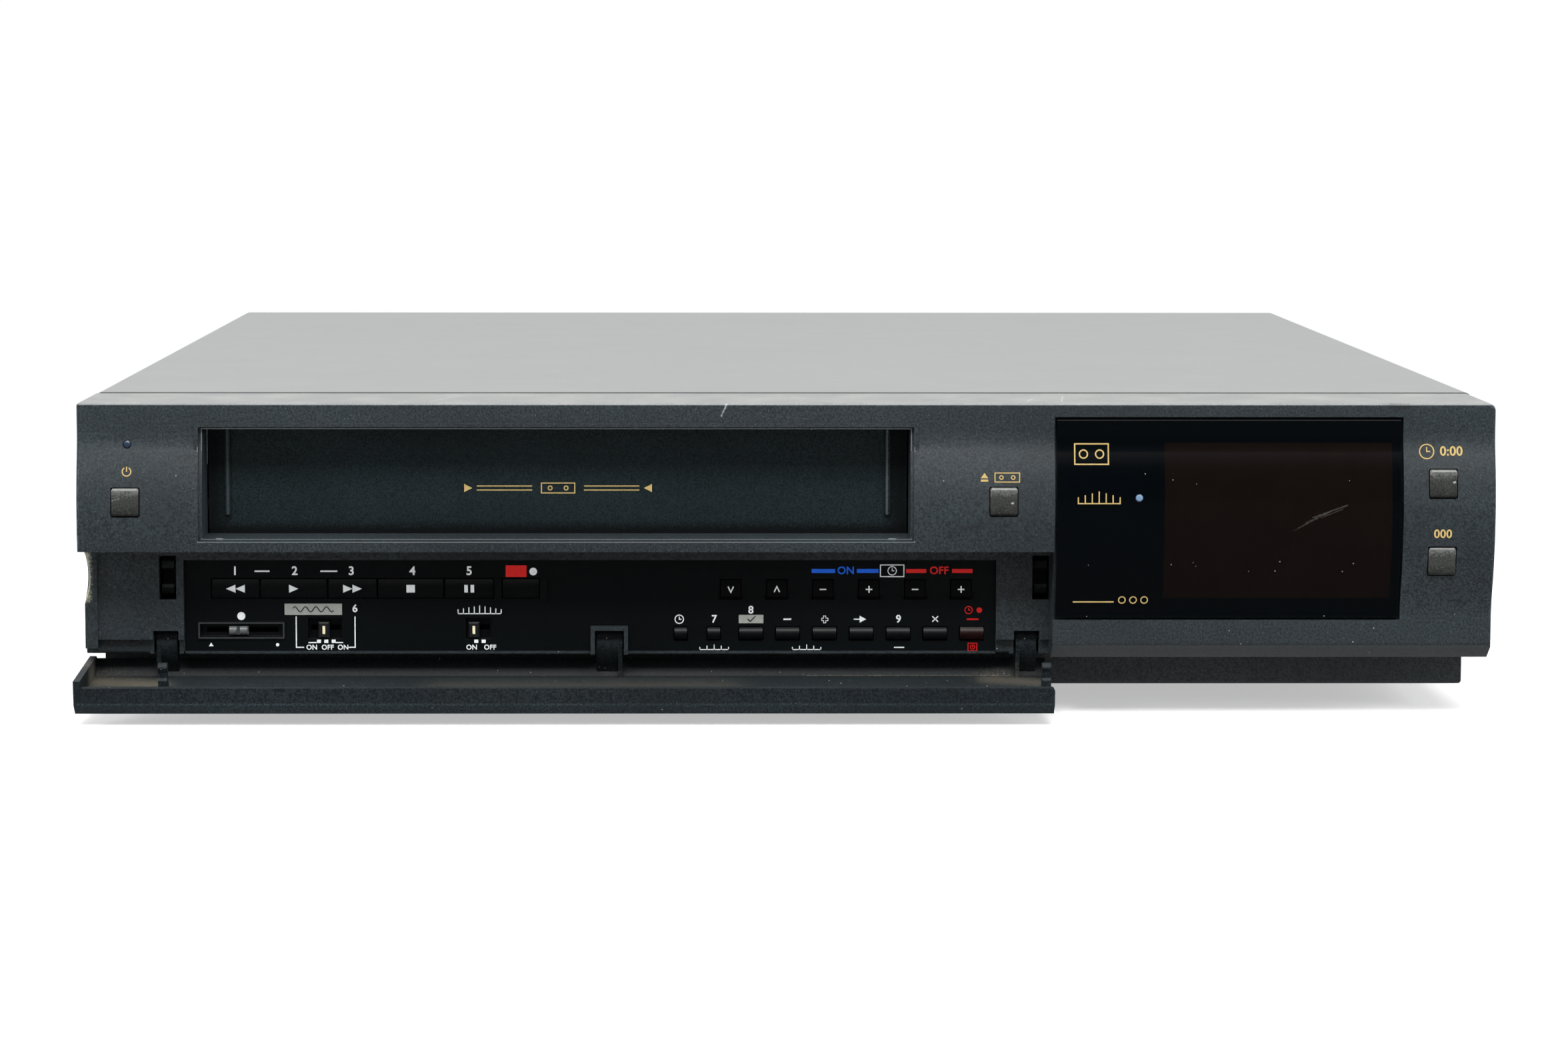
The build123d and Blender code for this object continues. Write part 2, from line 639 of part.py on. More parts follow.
for number, key_name in enumerate(SMALL_KEYS):
    key_x = small_key_x(number)
    low, high = SMALL_KEY_Z[0] + KEY_GAP, SMALL_KEY_Z[1] - KEY_GAP
    with BuildPart() as key:
        with BuildSketch(Plane.YZ.offset(key_x - SMALL_KEY_WIDTH / 2)):
            with BuildLine():
                # The cap leans out towards its foot, where a finger catches it
                Polyline(
                    (PANEL_FACE - 0.2, high),
                    (flange_front, high),
                    (flange_front, high + 0.9),
                    (flange_back, high + 0.9),
                    (flange_back, low - 0.9),
                    (flange_front, low - 0.9),
                    (flange_front, low),
                    (PANEL_FACE - 0.6, low),
                    (PANEL_FACE - 1.2, low + 0.8),
                    (PANEL_FACE - 0.2, high),
                )
            make_face()
        extrude(amount=SMALL_KEY_WIDTH)
        block(around(key_x, 2.6), (flange_front, stem_end), around(sum(SMALL_KEY_Z) / 2, 2.6))
    save(key.part, key_name)

for key_name, key_x, key_width in LOWER_KEYS:
    low, high = LOWER_KEY_Z[0] + KEY_GAP, LOWER_KEY_Z[1] - KEY_GAP
    cap_face = PANEL_FACE - 1.3
    with BuildPart() as key:
        with BuildSketch(Plane.YZ.offset(key_x - key_width / 2)):
            with BuildLine():
                ThreePointArc(
                    (PANEL_FACE + 0.3, low),
                    (cap_face, (low + high) / 2),
                    (PANEL_FACE - 0.4, high),
                )
                Polyline(
                    (PANEL_FACE - 0.4, high),
                    (flange_front, high),
                    (flange_front, high + 0.9),
                    (flange_back, high + 0.9),
                    (flange_back, low - 0.9),
                    (flange_front, low - 0.9),
                    (flange_front, low),
                    (PANEL_FACE + 0.3, low),
                )
            make_face()
        extrude(amount=key_width)
        block(around(key_x, 2.2), (flange_front, stem_end), around(sum(LOWER_KEY_Z) / 2, 2.2))
    save(key.part, key_name)

# ---------------------------------------------------------------- slide controls
slider_middle = sum(SLIDER_Z) / 2
with BuildPart() as picture_slider:
    knob_y = PANEL_FACE + 0.9
    block(around(SLIDER_KNOB_X, 5.2), (knob_y - 0.9, knob_y), around(slider_middle, 2.3))
    for ridge_x in (SLIDER_KNOB_X - 1.45, SLIDER_KNOB_X + 1.45):
        with BuildSketch(Plane.YZ.offset(ridge_x - 1.0)):
            with BuildLine():
                ThreePointArc(
                    (knob_y - 0.9, slider_middle - 1.15),
                    (knob_y - 2.2, slider_middle + 0.2),
                    (knob_y - 0.9, slider_middle + 1.15),
                )
                Line((knob_y - 0.9, slider_middle + 1.15), (knob_y - 0.9, slider_middle - 1.15))
            make_face()
        extrude(amount=2.0)
    block(around(SLIDER_KNOB_X, 3.0), (knob_y - 0.5, BOARD_FACE - 5.2), around(slider_middle, 0.9))
save(picture_slider.part, "picture_slider")

for switch_name, _, knob_x in SWITCHES:
    switch_middle = sum(SWITCH_Z) / 2
    pocket_floor = PANEL_FACE + POCKET_DEPTH - 0.3
    with BuildPart() as switch_knob:
        block(
            around(knob_x, SWITCH_KNOB[0]),
            (PANEL_FACE + 0.1, pocket_floor),
            around(switch_middle - 0.5, SWITCH_KNOB[1]),
        )
        chamfer(switch_knob.faces().sort_by(Axis.Y)[0].edges(), 0.35)
        block(
            around(knob_x, 1.6),
            (pocket_floor - 0.5, BOARD_FACE - 5.2),
            around(switch_middle, 1.0),
        )
    save(switch_knob.part, switch_name)

# ---------------------------------------------------------------- control door, drawn closed
skin_high = DOOR_TOP - 2.2
skin_inside = skin_high - 1.0
foot_inside = FACE_LOW + 0.9
with BuildPart() as closed_door:
    # Skin, the lip along its top with a chamfer, and the turned-in foot, as one section
    with BuildSketch(Plane.YZ.offset(DOOR_X[0])):
        with BuildLine():
            face_section(0.0, FACE_LOW, skin_high)
            Polyline(
                (face_y(skin_high), skin_high),
                (FRONT, DOOR_TOP),
                (FRONT + DOOR_LIP, DOOR_TOP),
                (FRONT + DOOR_LIP, DOOR_TOP - DOOR_SKIN),
                (FRONT + 0.6, DOOR_TOP - DOOR_SKIN),
                (face_y(skin_inside, DOOR_SKIN), skin_inside),
            )
            face_section(DOOR_SKIN, foot_inside, skin_inside)
            Polyline(
                (face_y(foot_inside, DOOR_SKIN), foot_inside),
                (FRONT + FASCIA_CHAMFER + 1.3, FASCIA_LOW + 1.5),
                (FRONT + FASCIA_CHAMFER, FASCIA_LOW),
                (face_y(FACE_LOW), FACE_LOW),
            )
        make_face()
    extrude(amount=DOOR_X[1] - DOOR_X[0])
    # The lip's inner corner is rounded off at its right end
    corner = closed_door.edges().filter_by(Axis.Z).group_by(Axis.X)[-1].sort_by(Axis.Y)[-1]
    fillet(corner, radius=0.9)
    # Left end wall, deeper than the lip
    end_inset = 1.0
    with BuildSketch(Plane.YZ.offset(DOOR_X[0])):
        with BuildLine():
            face_section(end_inset, FACE_LOW, skin_high)
            Polyline(
                (face_y(skin_high, end_inset), skin_high),
                (FRONT + end_inset, DOOR_TOP),
                (FRONT + DOOR_END, DOOR_TOP),
                (FRONT + DOOR_END, FASCIA_LOW + 2.4),
                (FRONT + FASCIA_CHAMFER + 0.6, FASCIA_LOW + 0.7),
                (face_y(FACE_LOW, end_inset), FACE_LOW),
            )
        make_face()
    extrude(amount=1.8)
    # Latch posts with a rounded head and a waist
    for latch_x in (LATCH_X[0] + 0.4, LATCH_X[1] + 0.4):
        post_root = face_y(LATCH_Z, DOOR_SKIN) - 0.3
        post_tip = FRONT + 9.6
        with BuildSketch(Plane.YZ.offset(latch_x - 1.2)):
            with BuildLine():
                Polyline(
                    (post_tip - 1.2, LATCH_Z + 1.5),
                    (post_tip - 2.6, LATCH_Z + 0.9),
                    (post_tip - 4.0, LATCH_Z + 0.9),
                    (post_tip - 4.6, LATCH_Z + 1.4),
                    (post_root, LATCH_Z + 1.8),
                    (post_root, LATCH_Z - 1.8),
                    (post_tip - 4.6, LATCH_Z - 1.4),
                    (post_tip - 4.0, LATCH_Z - 0.9),
                    (post_tip - 2.6, LATCH_Z - 0.9),
                    (post_tip - 1.2, LATCH_Z - 1.5),
                )
                ThreePointArc(
                    (post_tip - 1.2, LATCH_Z - 1.5),
                    (post_tip, LATCH_Z),
                    (post_tip - 1.2, LATCH_Z + 1.5),
                )
            make_face()
        extrude(amount=2.4)
    # Hinge arms reach back from the skin to the pins: a bowed plate, stiffened by a rib on one side
    for arm_x, arm_width, rib_side in zip(ARM_X, ARM_WIDTH, ARM_RIB_SIDE):
        with BuildSketch(Plane.YZ.offset(arm_x - arm_width / 2)):
            with BuildLine():
                Spline(
                    (HINGE_Y - 0.2, HINGE_Z + HINGE_BARREL),
                    (HINGE_Y - 3.0, HINGE_Z + 2.1),
                    (HINGE_Y - 7.6, HINGE_Z + 0.4),
                    (HINGE_Y - 11.0, HINGE_Z - 0.1),
                )
                Polyline(
                    (HINGE_Y - 11.0, HINGE_Z - 0.1),
                    (HINGE_Y - 11.0, HINGE_Z - ARM_THICK),
                    (HINGE_Y - 7.0, HINGE_Z - ARM_THICK),
                    (HINGE_Y - 3.0, HINGE_Z - 0.2),
                    (HINGE_Y - 0.2, HINGE_Z - HINGE_BARREL),
                )
                ThreePointArc(
                    (HINGE_Y - 0.2, HINGE_Z - HINGE_BARREL),
                    (HINGE_Y + HINGE_BARREL, HINGE_Z),
                    (HINGE_Y - 0.2, HINGE_Z + HINGE_BARREL),
                )
            make_face()
        extrude(amount=arm_width)
        rib_middle = arm_x + rib_side * (arm_width - ARM_RIB) / 2
        with BuildSketch(Plane.YZ.offset(rib_middle - ARM_RIB / 2)):
            with BuildLine():
                Polyline(
                    (HINGE_Y - 2.4, HINGE_Z + 1.0),
                    (HINGE_Y - 3.0, HINGE_Z + 2.2),
                    (HINGE_Y - 9.0, HINGE_Z + 2.1),
                    (HINGE_Y - 11.0, HINGE_Z + 2.6),
                    (HINGE_Y - 11.0, HINGE_Z - 0.8),
                    (HINGE_Y - 7.0, HINGE_Z - 0.8),
                    (HINGE_Y - 2.4, HINGE_Z + 1.0),
                )
            make_face()
        extrude(amount=ARM_RIB)
        pin_length = 1.1
        for pin_x in (arm_x - arm_width / 2 - pin_length, arm_x + arm_width / 2):
            rod("x", (pin_x, HINGE_Y, HINGE_Z), HINGE_PIN_RADIUS, pin_length)
hinge_line = Axis((0, HINGE_Y, HINGE_Z), (1, 0, 0))
control_door = closed_door.part.rotate(hinge_line, DOOR_OPEN)
save(control_door, "control_door")

# ---------------------------------------------------------------- latches for the door posts
with BuildPart() as door_latches:
    for latch_x in LATCH_X:
        case_x = around(latch_x, LATCH_SLOT[0] - 0.5)
        case_z = around(LATCH_Z, LATCH_SLOT[1] - 0.5)
        block(case_x, (BLOCK_FACE + 6.0, BLOCK_FACE + 9.5), case_z)
        for side in (1, -1):
            with BuildSketch(Plane.YZ.offset(case_x[0] + 0.4)):
                with BuildLine():
                    Polyline(
                        (BLOCK_FACE + 6.2, LATCH_Z + side * 5.7),
                        (BLOCK_FACE + 6.2, LATCH_Z + side * 3.6),
                        (BLOCK_FACE + 2.6, LATCH_Z + side * 3.0),
                        (BLOCK_FACE + 1.2, LATCH_Z + side * 1.9),
                        (BLOCK_FACE + 0.3, LATCH_Z + side * 2.6),
                        (BLOCK_FACE + 1.4, LATCH_Z + side * 4.4),
                        (BLOCK_FACE + 4.0, LATCH_Z + side * 5.3),
                        (BLOCK_FACE + 6.2, LATCH_Z + side * 5.7),
                    )
                make_face()
            extrude(amount=case_x[1] - case_x[0] - 0.8)
save(door_latches.part, "door_latches")

# ---------------------------------------------------------------- steel cover
with BuildPart() as top_cover:
    # Bent sheet with a narrow hem turned in along each foot
    cover_height = HEIGHT - FASCIA_LOW
    with BuildSketch(upright(COVER_FRONT)):
        with Locations((0, FASCIA_LOW + cover_height / 2)):
            RectangleRounded(WIDTH, cover_height, COVER_ROUND)
            RectangleRounded(
                WIDTH - 2 * SHEET,
                cover_height - 2 * SHEET,
                COVER_ROUND - SHEET,
                mode=Mode.SUBTRACT,
            )
        with Locations((0, FASCIA_LOW)):
            Rectangle(WIDTH - 6.4, 8.0, mode=Mode.SUBTRACT)
    extrude(amount=COVER_FRONT - REAR)
    # Lip that closes the back edge, with its screw holes
    block((-HALF + 4, HALF - 4), (REAR - SHEET, REAR), (HEIGHT - 9.5, HEIGHT - SHEET / 2))
    for screw_x in COVER_SCREW_X:
        rod("y", (screw_x, REAR - 3, COVER_SCREW_Z), SCREW_RADIUS + 0.2, 5, Mode.SUBTRACT)
    # Louvres in both sides, beside the power supply and the tuner
    with BuildSketch(Plane.YZ.offset(-HALF - 1)):
        with Locations((REAR - 70, 54.0)):
            with GridLocations(7.0, 1.0, 12, 1):
                Rectangle(2.2, 24.0)
    extrude(amount=WIDTH + 2, mode=Mode.SUBTRACT)
save(top_cover.part, "top_cover")

# ---------------------------------------------------------------- chassis tray
BASE_BACK = REAR - SHEET - 0.3
with BuildPart() as bottom_pan:
    block((-BASE_HALF, BASE_HALF), (BASE_FRONT, BASE_BACK), (FEET_HEIGHT, BASE_TOP))
    fillet(bottom_pan.faces().sort_by(Axis.Z)[0].edges(), radius=1.0)
    offset(amount=-BASE_WALL, openings=bottom_pan.faces().sort_by(Axis.Z)[-1])
    # The fascia sits on the low front wall and the rear panel on the low back wall
    block(
        (-HALF, HALF),
        (BASE_FRONT - 1, FASCIA_BACK + 0.4),
        (FASCIA_LOW, BASE_TOP + 1),
        Mode.SUBTRACT,
    )
    block((-HALF, HALF), (BASE_BACK - 3, BASE_BACK + 1), (FASCIA_LOW, BASE_TOP + 1), Mode.SUBTRACT)
    # Cross rib behind the fascia, and stiffening ribs on the floor
    block(
        (-BASE_HALF + 1, BASE_HALF - 1),
        (FASCIA_BACK + 3.0, FASCIA_BACK + 5.0),
        (BASE_FLOOR - 0.5, FASCIA_LOW + 3),
    )
    for rib_y in (FRONT + 36.0, REAR - 40.0):
        block((-BASE_HALF + 1, BASE_HALF - 1), (rib_y, rib_y + 2), (BASE_FLOOR - 0.5, BASE_FLOOR + 1.6))
    # Vents under the boards
    with BuildSketch(Plane.XY.offset(FEET_HEIGHT - 1)):
        with Locations((118.0, REAR - 100.0), (118.0, REAR - 160.0)):
            with GridLocations(8.0, 1.0, 12, 1):
                Rectangle(3.0, 38.0)
    extrude(amount=BASE_WALL + 2, mode=Mode.SUBTRACT)
    # Posts that carry the deck
    for post_x in (DECK_X[0] + 8, DECK_X[1] - 8):
        for post_y in (DECK_Y[0] + 10, DECK_Y[1] - 10):
            block(around(post_x, 7.0), around(post_y, 7.0), (BASE_FLOOR - 0.5, DECK_TOP - DECK_SHEET))
save(bottom_pan.part, "bottom_pan")

with BuildPart() as rubber_feet:
    for foot_x in (-150.0, 150.0):
        for foot_y in (FRONT + 72.0, REAR - 56.0):
            with BuildSketch(Plane.XZ.offset(-foot_y)):
                with BuildLine():
                    Polyline(
                        (foot_x + 6.0, 1.6),
                        (foot_x + 6.0, 0.0),
                        (foot_x + 13.2, 0.0),
                        (foot_x + 15.0, FEET_HEIGHT),
                        (foot_x, FEET_HEIGHT),
                        (foot_x, 1.6),
                        (foot_x + 6.0, 1.6),
                    )
                make_face()
            revolve(axis=Axis((foot_x, foot_y, 0), (0, 0, 1)))
save(rubber_feet.part, "rubber_feet")

# ---------------------------------------------------------------- rear panel and sockets
PANEL_INNER = REAR_PANEL_BACK - SHEET
SOCKET_END = REAR_PANEL_BACK + 0.3 + SOCKET_LENGTH
with BuildPart() as rear_panel:
    block(
        (-HALF + SHEET + 0.4, HALF - SHEET - 0.4),
        (PANEL_INNER, REAR_PANEL_BACK),
        (FASCIA_LOW + SHEET + 0.3, HEIGHT - SHEET - 0.3),
    )
    chamfer(rear_panel.edges().filter_by(Axis.Y).group_by(Axis.Z)[-1], 2.4)
    with BuildSketch(upright(PANEL_INNER - 1)):
        for aerial_x in AERIAL_X:
            with Locations((aerial_x, AERIAL_Z)):
                Circle(6.5)
        with Locations((SCART_X, SCART_Z)):
            Rectangle(48.6, 14.6)
        for phono_x in PHONO_X:
            with Locations((phono_x, PHONO_Z)):
                Circle(5.3)
        with Locations((INLET_X, INLET_Z)):
            Rectangle(25.0, 15.0)
        for screw_x in COVER_SCREW_X:
            with Locations((screw_x, COVER_SCREW_Z)):
                Circle(SCREW_RADIUS + 0.2)
        with Locations((64.0, 48.0)):
            with GridLocations(6.0, 1.0, 14, 1):
                Rectangle(2.4, 28.0)
    extrude(amount=-(SHEET + 2), mode=Mode.SUBTRACT)
save(rear_panel.part, "rear_panel")

with BuildPart() as cover_screws:
    for screw_x in COVER_SCREW_X:
        with BuildSketch(Plane.YZ.offset(screw_x)):
            with BuildLine():
                Polyline(
                    (REAR + 0.8, COVER_SCREW_Z + 3.0),
                    (REAR, COVER_SCREW_Z + 3.0),
                    (REAR, COVER_SCREW_Z + SCREW_RADIUS),
                    (REAR - 7, COVER_SCREW_Z + SCREW_RADIUS),
                    (REAR - 8, COVER_SCREW_Z),
                    (REAR + 1.8, COVER_SCREW_Z),
                    (REAR + 1.8, COVER_SCREW_Z + 1.8),
                    (REAR + 0.8, COVER_SCREW_Z + 3.0),
                )
            make_face()
        revolve(axis=Axis((screw_x, 0, COVER_SCREW_Z), (0, 1, 0)))
save(cover_screws.part, "cover_screws")

with BuildPart() as tuner_box:
    tuner_x = (AERIAL_X[0] - 12, AERIAL_X[1] + 12)
    tuner_y = (PANEL_INNER - 58, PANEL_INNER - 0.1)
    block(tuner_x, tuner_y, (AERIAL_Z - 13, AERIAL_Z + 13))
    chamfer(tuner_box.edges().filter_by(Axis.Y), 0.8)
    with BuildSketch(upright(tuner_y[1])):
        for aerial_x in AERIAL_X:
            with Locations((aerial_x, AERIAL_Z)):
                Circle(AERIAL_RADIUS)
                Circle(AERIAL_RADIUS - 0.8, mode=Mode.SUBTRACT)
        with Locations((AERIAL_X[1], AERIAL_Z)):
            Circle(1.2)
        with Locations((AERIAL_X[0], AERIAL_Z)):
            Circle(1.9)
            Circle(1.2, mode=Mode.SUBTRACT)
    extrude(amount=-(SOCKET_END - tuner_y[1]))
    # The female socket has the thicker barrel, the male one only a collar
    for aerial_x, barrel_end in zip(AERIAL_X, (SOCKET_END, REAR_PANEL_BACK + 0.3)):
        with BuildSketch(upright(tuner_y[1])):
            with Locations((aerial_x, AERIAL_Z)):
                Circle(6.2)
                Circle(AERIAL_RADIUS - 0.4, mode=Mode.SUBTRACT)
        extrude(amount=-(barrel_end - tuner_y[1]))
save(tuner_box.part, "tuner_box")

with BuildPart() as av_sockets:
    # Twenty-one-way connector: housing, D-shaped shroud with one cut corner, and contact slits
    block(around(SCART_X, 54.0), (PANEL_INNER - 14, PANEL_INNER - 0.1), around(SCART_Z, 20.0))
    with BuildSketch(upright(PANEL_INNER - 0.2)):
        with BuildLine():
            Polyline(
                (SCART_X - 23.6, SCART_Z + 6.8),
                (SCART_X + 23.6, SCART_Z + 6.8),
                (SCART_X + 23.6, SCART_Z - 6.8),
                (SCART_X - 19.0, SCART_Z - 6.8),
                (SCART_X - 23.6, SCART_Z - 2.2),
                (SCART_X - 23.6, SCART_Z + 6.8),
            )
        make_face()
    extrude(amount=-5.0)
    with BuildSketch(upright(PANEL_INNER - 0.2 + 5.0)):
        with Locations((SCART_X, SCART_Z)):
            Rectangle(44.4, 10.6)
            Rectangle(41.2, 7.6, mode=Mode.SUBTRACT)
    extrude(amount=8.0, mode=Mode.SUBTRACT)
    with BuildSketch(upright(PANEL_INNER - 0.2 + 5.0)):
        for row_z, shift in ((2.0, 0.0), (-2.0, 1.9)):
            with Locations((SCART_X + shift - 0.95, SCART_Z + row_z)):
                with GridLocations(3.8, 1.0, 10, 1):
                    Rectangle(1.0, 2.6)
    extrude(amount=9.0, mode=Mode.SUBTRACT)
    # Four phono sockets on a common block
    phono_middle = sum(PHONO_X) / len(PHONO_X)
    block(around(phono_middle, 56.0), (PANEL_INNER - 12, PANEL_INNER - 0.1), around(PHONO_Z, 13.0))
    for phono_x in PHONO_X:
        rod("y", (phono_x, PANEL_INNER - 0.2, PHONO_Z), 5.0, 2.2)
        rod("y", (phono_x, PANEL_INNER - 0.2, PHONO_Z), PHONO_RADIUS, SOCKET_END - PANEL_INNER + 0.2)
        rod("y", (phono_x, PANEL_INNER - 4, PHONO_Z), 1.6, SOCKET_END - PANEL_INNER + 5, Mode.SUBTRACT)
save(av_sockets.part, "av_sockets")

with BuildPart() as mains_inlet:
    # Two-pin inlet with a figure-of-eight mouth
    inlet_back = PANEL_INNER - 16
    block(around(INLET_X, 24.4), (inlet_back, REAR_PANEL_BACK), around(INLET_Z, 14.4))
    block(around(INLET_X, 36.0), (REAR_PANEL_BACK, REAR_PANEL_BACK + 1.6), around(INLET_Z, 18.0))
    fillet(mains_inlet.faces().sort_by(Axis.Y)[-1].edges().filter_by(Axis.Z), radius=0.8)
    with BuildSketch(upright(REAR_PANEL_BACK + 1.6)):
        with Locations((INLET_X, INLET_Z)):
            SlotCenterToCenter(8.6, 8.4)
    extrude(amount=13.0, mode=Mode.SUBTRACT)
    for pin_x in (INLET_X - 4.3, INLET_X + 4.3):
        rod("y", (pin_x, inlet_back + 2, INLET_Z), 1.18, 12.0)
save(mains_inlet.part, "mains_inlet")

# ---------------------------------------------------------------- boards and power supply
MAIN_BOARD_Z = 12.0
with BuildPart() as main_board:
    board_right = (52.0, 182.0)
    with BuildSketch(Plane.XY.offset(MAIN_BOARD_Z)):
        with BuildLine():
            Polyline(
                (board_right[0], FRONT + 40),
                (board_right[1], FRONT + 40),
                (board_right[1], REAR - 110),
                (90.0, REAR - 110),
                (90.0, REAR - 8),
                (-180.0, REAR - 8),
                (-180.0, REAR - 48),
                (board_right[0], REAR - 48),
                (board_right[0], FRONT + 40),
            )
        make_face()
    extrude(amount=BOARD_THICK)
    board_top = MAIN_BOARD_Z + BOARD_THICK
    # Integrated circuits, a screening can and upright capacitors
    for chip_x, chip_y, chip_length in (
        (80.0, FRONT + 90, 28.0),
        (130.0, FRONT + 90, 36.0),
        (100.0, FRONT + 140, 36.0),
        (-20.0, REAR - 30, 28.0),
        (-110.0, REAR - 30, 28.0),
    ):
        block(around(chip_x, chip_length), around(chip_y, 9.0), (board_top - 0.2, board_top + 3.6))
    block((70.0, 110.0), (FRONT + 165, FRONT + 205), (board_top - 0.2, board_top + 16))
    for number in range(4):
        rod("z", (72.0 + 26 * number, FRONT + 60, board_top - 0.2), 4.0, 12.0)
    # Edge of the board seats on the chassis through short legs
    for leg_x, leg_y in ((60.0, FRONT + 48), (174.0, FRONT + 48), (-172.0, REAR - 16), (60.0, REAR - 16)):
        block(around(leg_x, 5.0), around(leg_y, 5.0), (BASE_FLOOR, MAIN_BOARD_Z + 0.2))
save(main_board.part, "main_board")

with BuildPart() as control_board:
    # Upright board: low behind the keys, tall behind the display and the push buttons
    with BuildSketch(upright(BOARD_FACE)):
        with BuildLine():
            Polyline(
                (-182.0, 19.6),
                (182.0, 19.6),
                (182.0, 80.0),
                (76.0, 80.0),
                (76.0, 66.0),
                (46.0, 66.0),
                (46.0, 44.0),
                (-163.0, 44.0),
                (-163.0, 66.0),
                (-182.0, 66.0),
                (-182.0, 19.6),
            )
        make_face()
    extrude(amount=-BOARD_THICK)
    # One tact switch behind each key and button
    transport_middle = sum(TRANSPORT_Z) / 2
    key_places = [((left + right) / 2, transport_middle) for _, left, right in TRANSPORT_KEYS]
    key_places += [(small_key_x(number), sum(SMALL_KEY_Z) / 2) for number in range(len(SMALL_KEYS))]
    key_places += [(key_x, sum(LOWER_KEY_Z) / 2) for _, key_x, _ in LOWER_KEYS]
    key_places += [(button_x, button_z) for _, button_x, button_z in BUTTONS]
    with BuildSketch(upright(BOARD_FACE)):
        with Locations(key_places):
            Rectangle(5.2, 4.6)
    extrude(amount=2.0)
    # Plungers of the switches, with room for the travel of the keys
    with BuildSketch(upright(BOARD_FACE - 1.9)):
        with Locations(key_places):
            Rectangle(1.6, 1.6)
    extrude(amount=0.2)
    # Bodies of the slide controls
    for slide_x, slide_width in ((sum(SLIDER_X) / 2, 30.0), (-125.25, 12.0), (-83.55, 10.0)):
        block(around(slide_x, slide_width), (BOARD_FACE - 4.8, BOARD_FACE), (20.0, 25.6))
save(control_board.part, "control_board")

with BuildPart() as power_supply:
    supply_x = (96.0, 182.0)
    supply_y = (REAR - 104, REAR - 26)
    block(supply_x, supply_y, (MAIN_BOARD_Z, MAIN_BOARD_Z + BOARD_THICK))
    supply_top = MAIN_BOARD_Z + BOARD_THICK
    # Transformer: laminated core with its winding
    block((108.0, 150.0), (REAR - 78, REAR - 42), (supply_top - 0.2, supply_top + 44))
    block((114.0, 144.0), (REAR - 86, REAR - 34), (supply_top + 8, supply_top + 36))
    # Finned heat sink along the right edge
    block((172.0, 175.0), (REAR - 98, REAR - 34), (supply_top - 0.2, supply_top + 38))
    for number in range(8):
        fin_y = REAR - 96 + 8.6 * number
        block((174.0, 181.0), (fin_y, fin_y + 1.6), (supply_top + 4, supply_top + 38))
    for cap_x, cap_y, cap_radius in (
        (160.0, REAR - 90, 8.0),
        (160.0, REAR - 70, 8.0),
        (104.0, REAR - 94, 5.0),
    ):
        rod("z", (cap_x, cap_y, supply_top - 0.2), cap_radius, 26.0)
    for leg_x in (101.0, 177.0):
        for leg_y in (REAR - 99, REAR - 31):
            block(around(leg_x, 5.0), around(leg_y, 5.0), (BASE_FLOOR, MAIN_BOARD_Z + 0.2))
save(power_supply.part, "power_supply")

# ---------------------------------------------------------------- tape deck
REEL_X = (SLOT_MIDDLE - REEL_SPACING / 2, SLOT_MIDDLE + REEL_SPACING / 2)
REEL_PIN = 1.5
CAPSTAN_RADIUS = 2.0
LOADING_MOTOR = (-138.0, FRONT + 262.0)
GUIDE_PATHS = [
    CenterArc((DRUM_X, DRUM_Y), DRUM_RADIUS + 11, start, sweep)
    for start, sweep in ((205, -95), (-25, 95))
]
with BuildPart() as deck_plate:
    deck_low = DECK_TOP - DECK_SHEET
    deck_middle = sum(DECK_Y) / 2
    with BuildSketch(Plane.XY.offset(deck_low)):
        with Locations((sum(DECK_X) / 2, deck_middle)):
            Rectangle(DECK_X[1] - DECK_X[0], DECK_Y[1] - DECK_Y[0])
        # Curved slots along which the tape guides travel round the drum
        for guide_path in GUIDE_PATHS:
            SlotArc(guide_path, 5.0, mode=Mode.SUBTRACT)
        with Locations((CAPSTAN_X, CAPSTAN_Y)):
            Circle(CAPSTAN_RADIUS + RUNNING, mode=Mode.SUBTRACT)
    extrude(amount=DECK_SHEET)
    # Turned-down flanges stiffen the long sides
    for flange_x in DECK_X:
        block(around(flange_x, 1.5), DECK_Y, (deck_low - 6, DECK_TOP))
    # Pins that the reel tables turn on, the drum seat and the bearing tube of the capstan
    for reel_x in REEL_X:
        rod("z", (reel_x, REEL_Y, DECK_TOP - 0.5), REEL_PIN, 12.5)
    rod("z", (PINCH_X, PINCH_Y, DECK_TOP - 0.5), REEL_PIN, 20.5)
    with BuildSketch(Plane.XY.offset(DECK_TOP - 4.8)):
        with Locations((CAPSTAN_X, CAPSTAN_Y)):
            Circle(4.5)
            Circle(CAPSTAN_RADIUS + RUNNING, mode=Mode.SUBTRACT)
    extrude(amount=6.8)
save(deck_plate.part, "deck_plate")

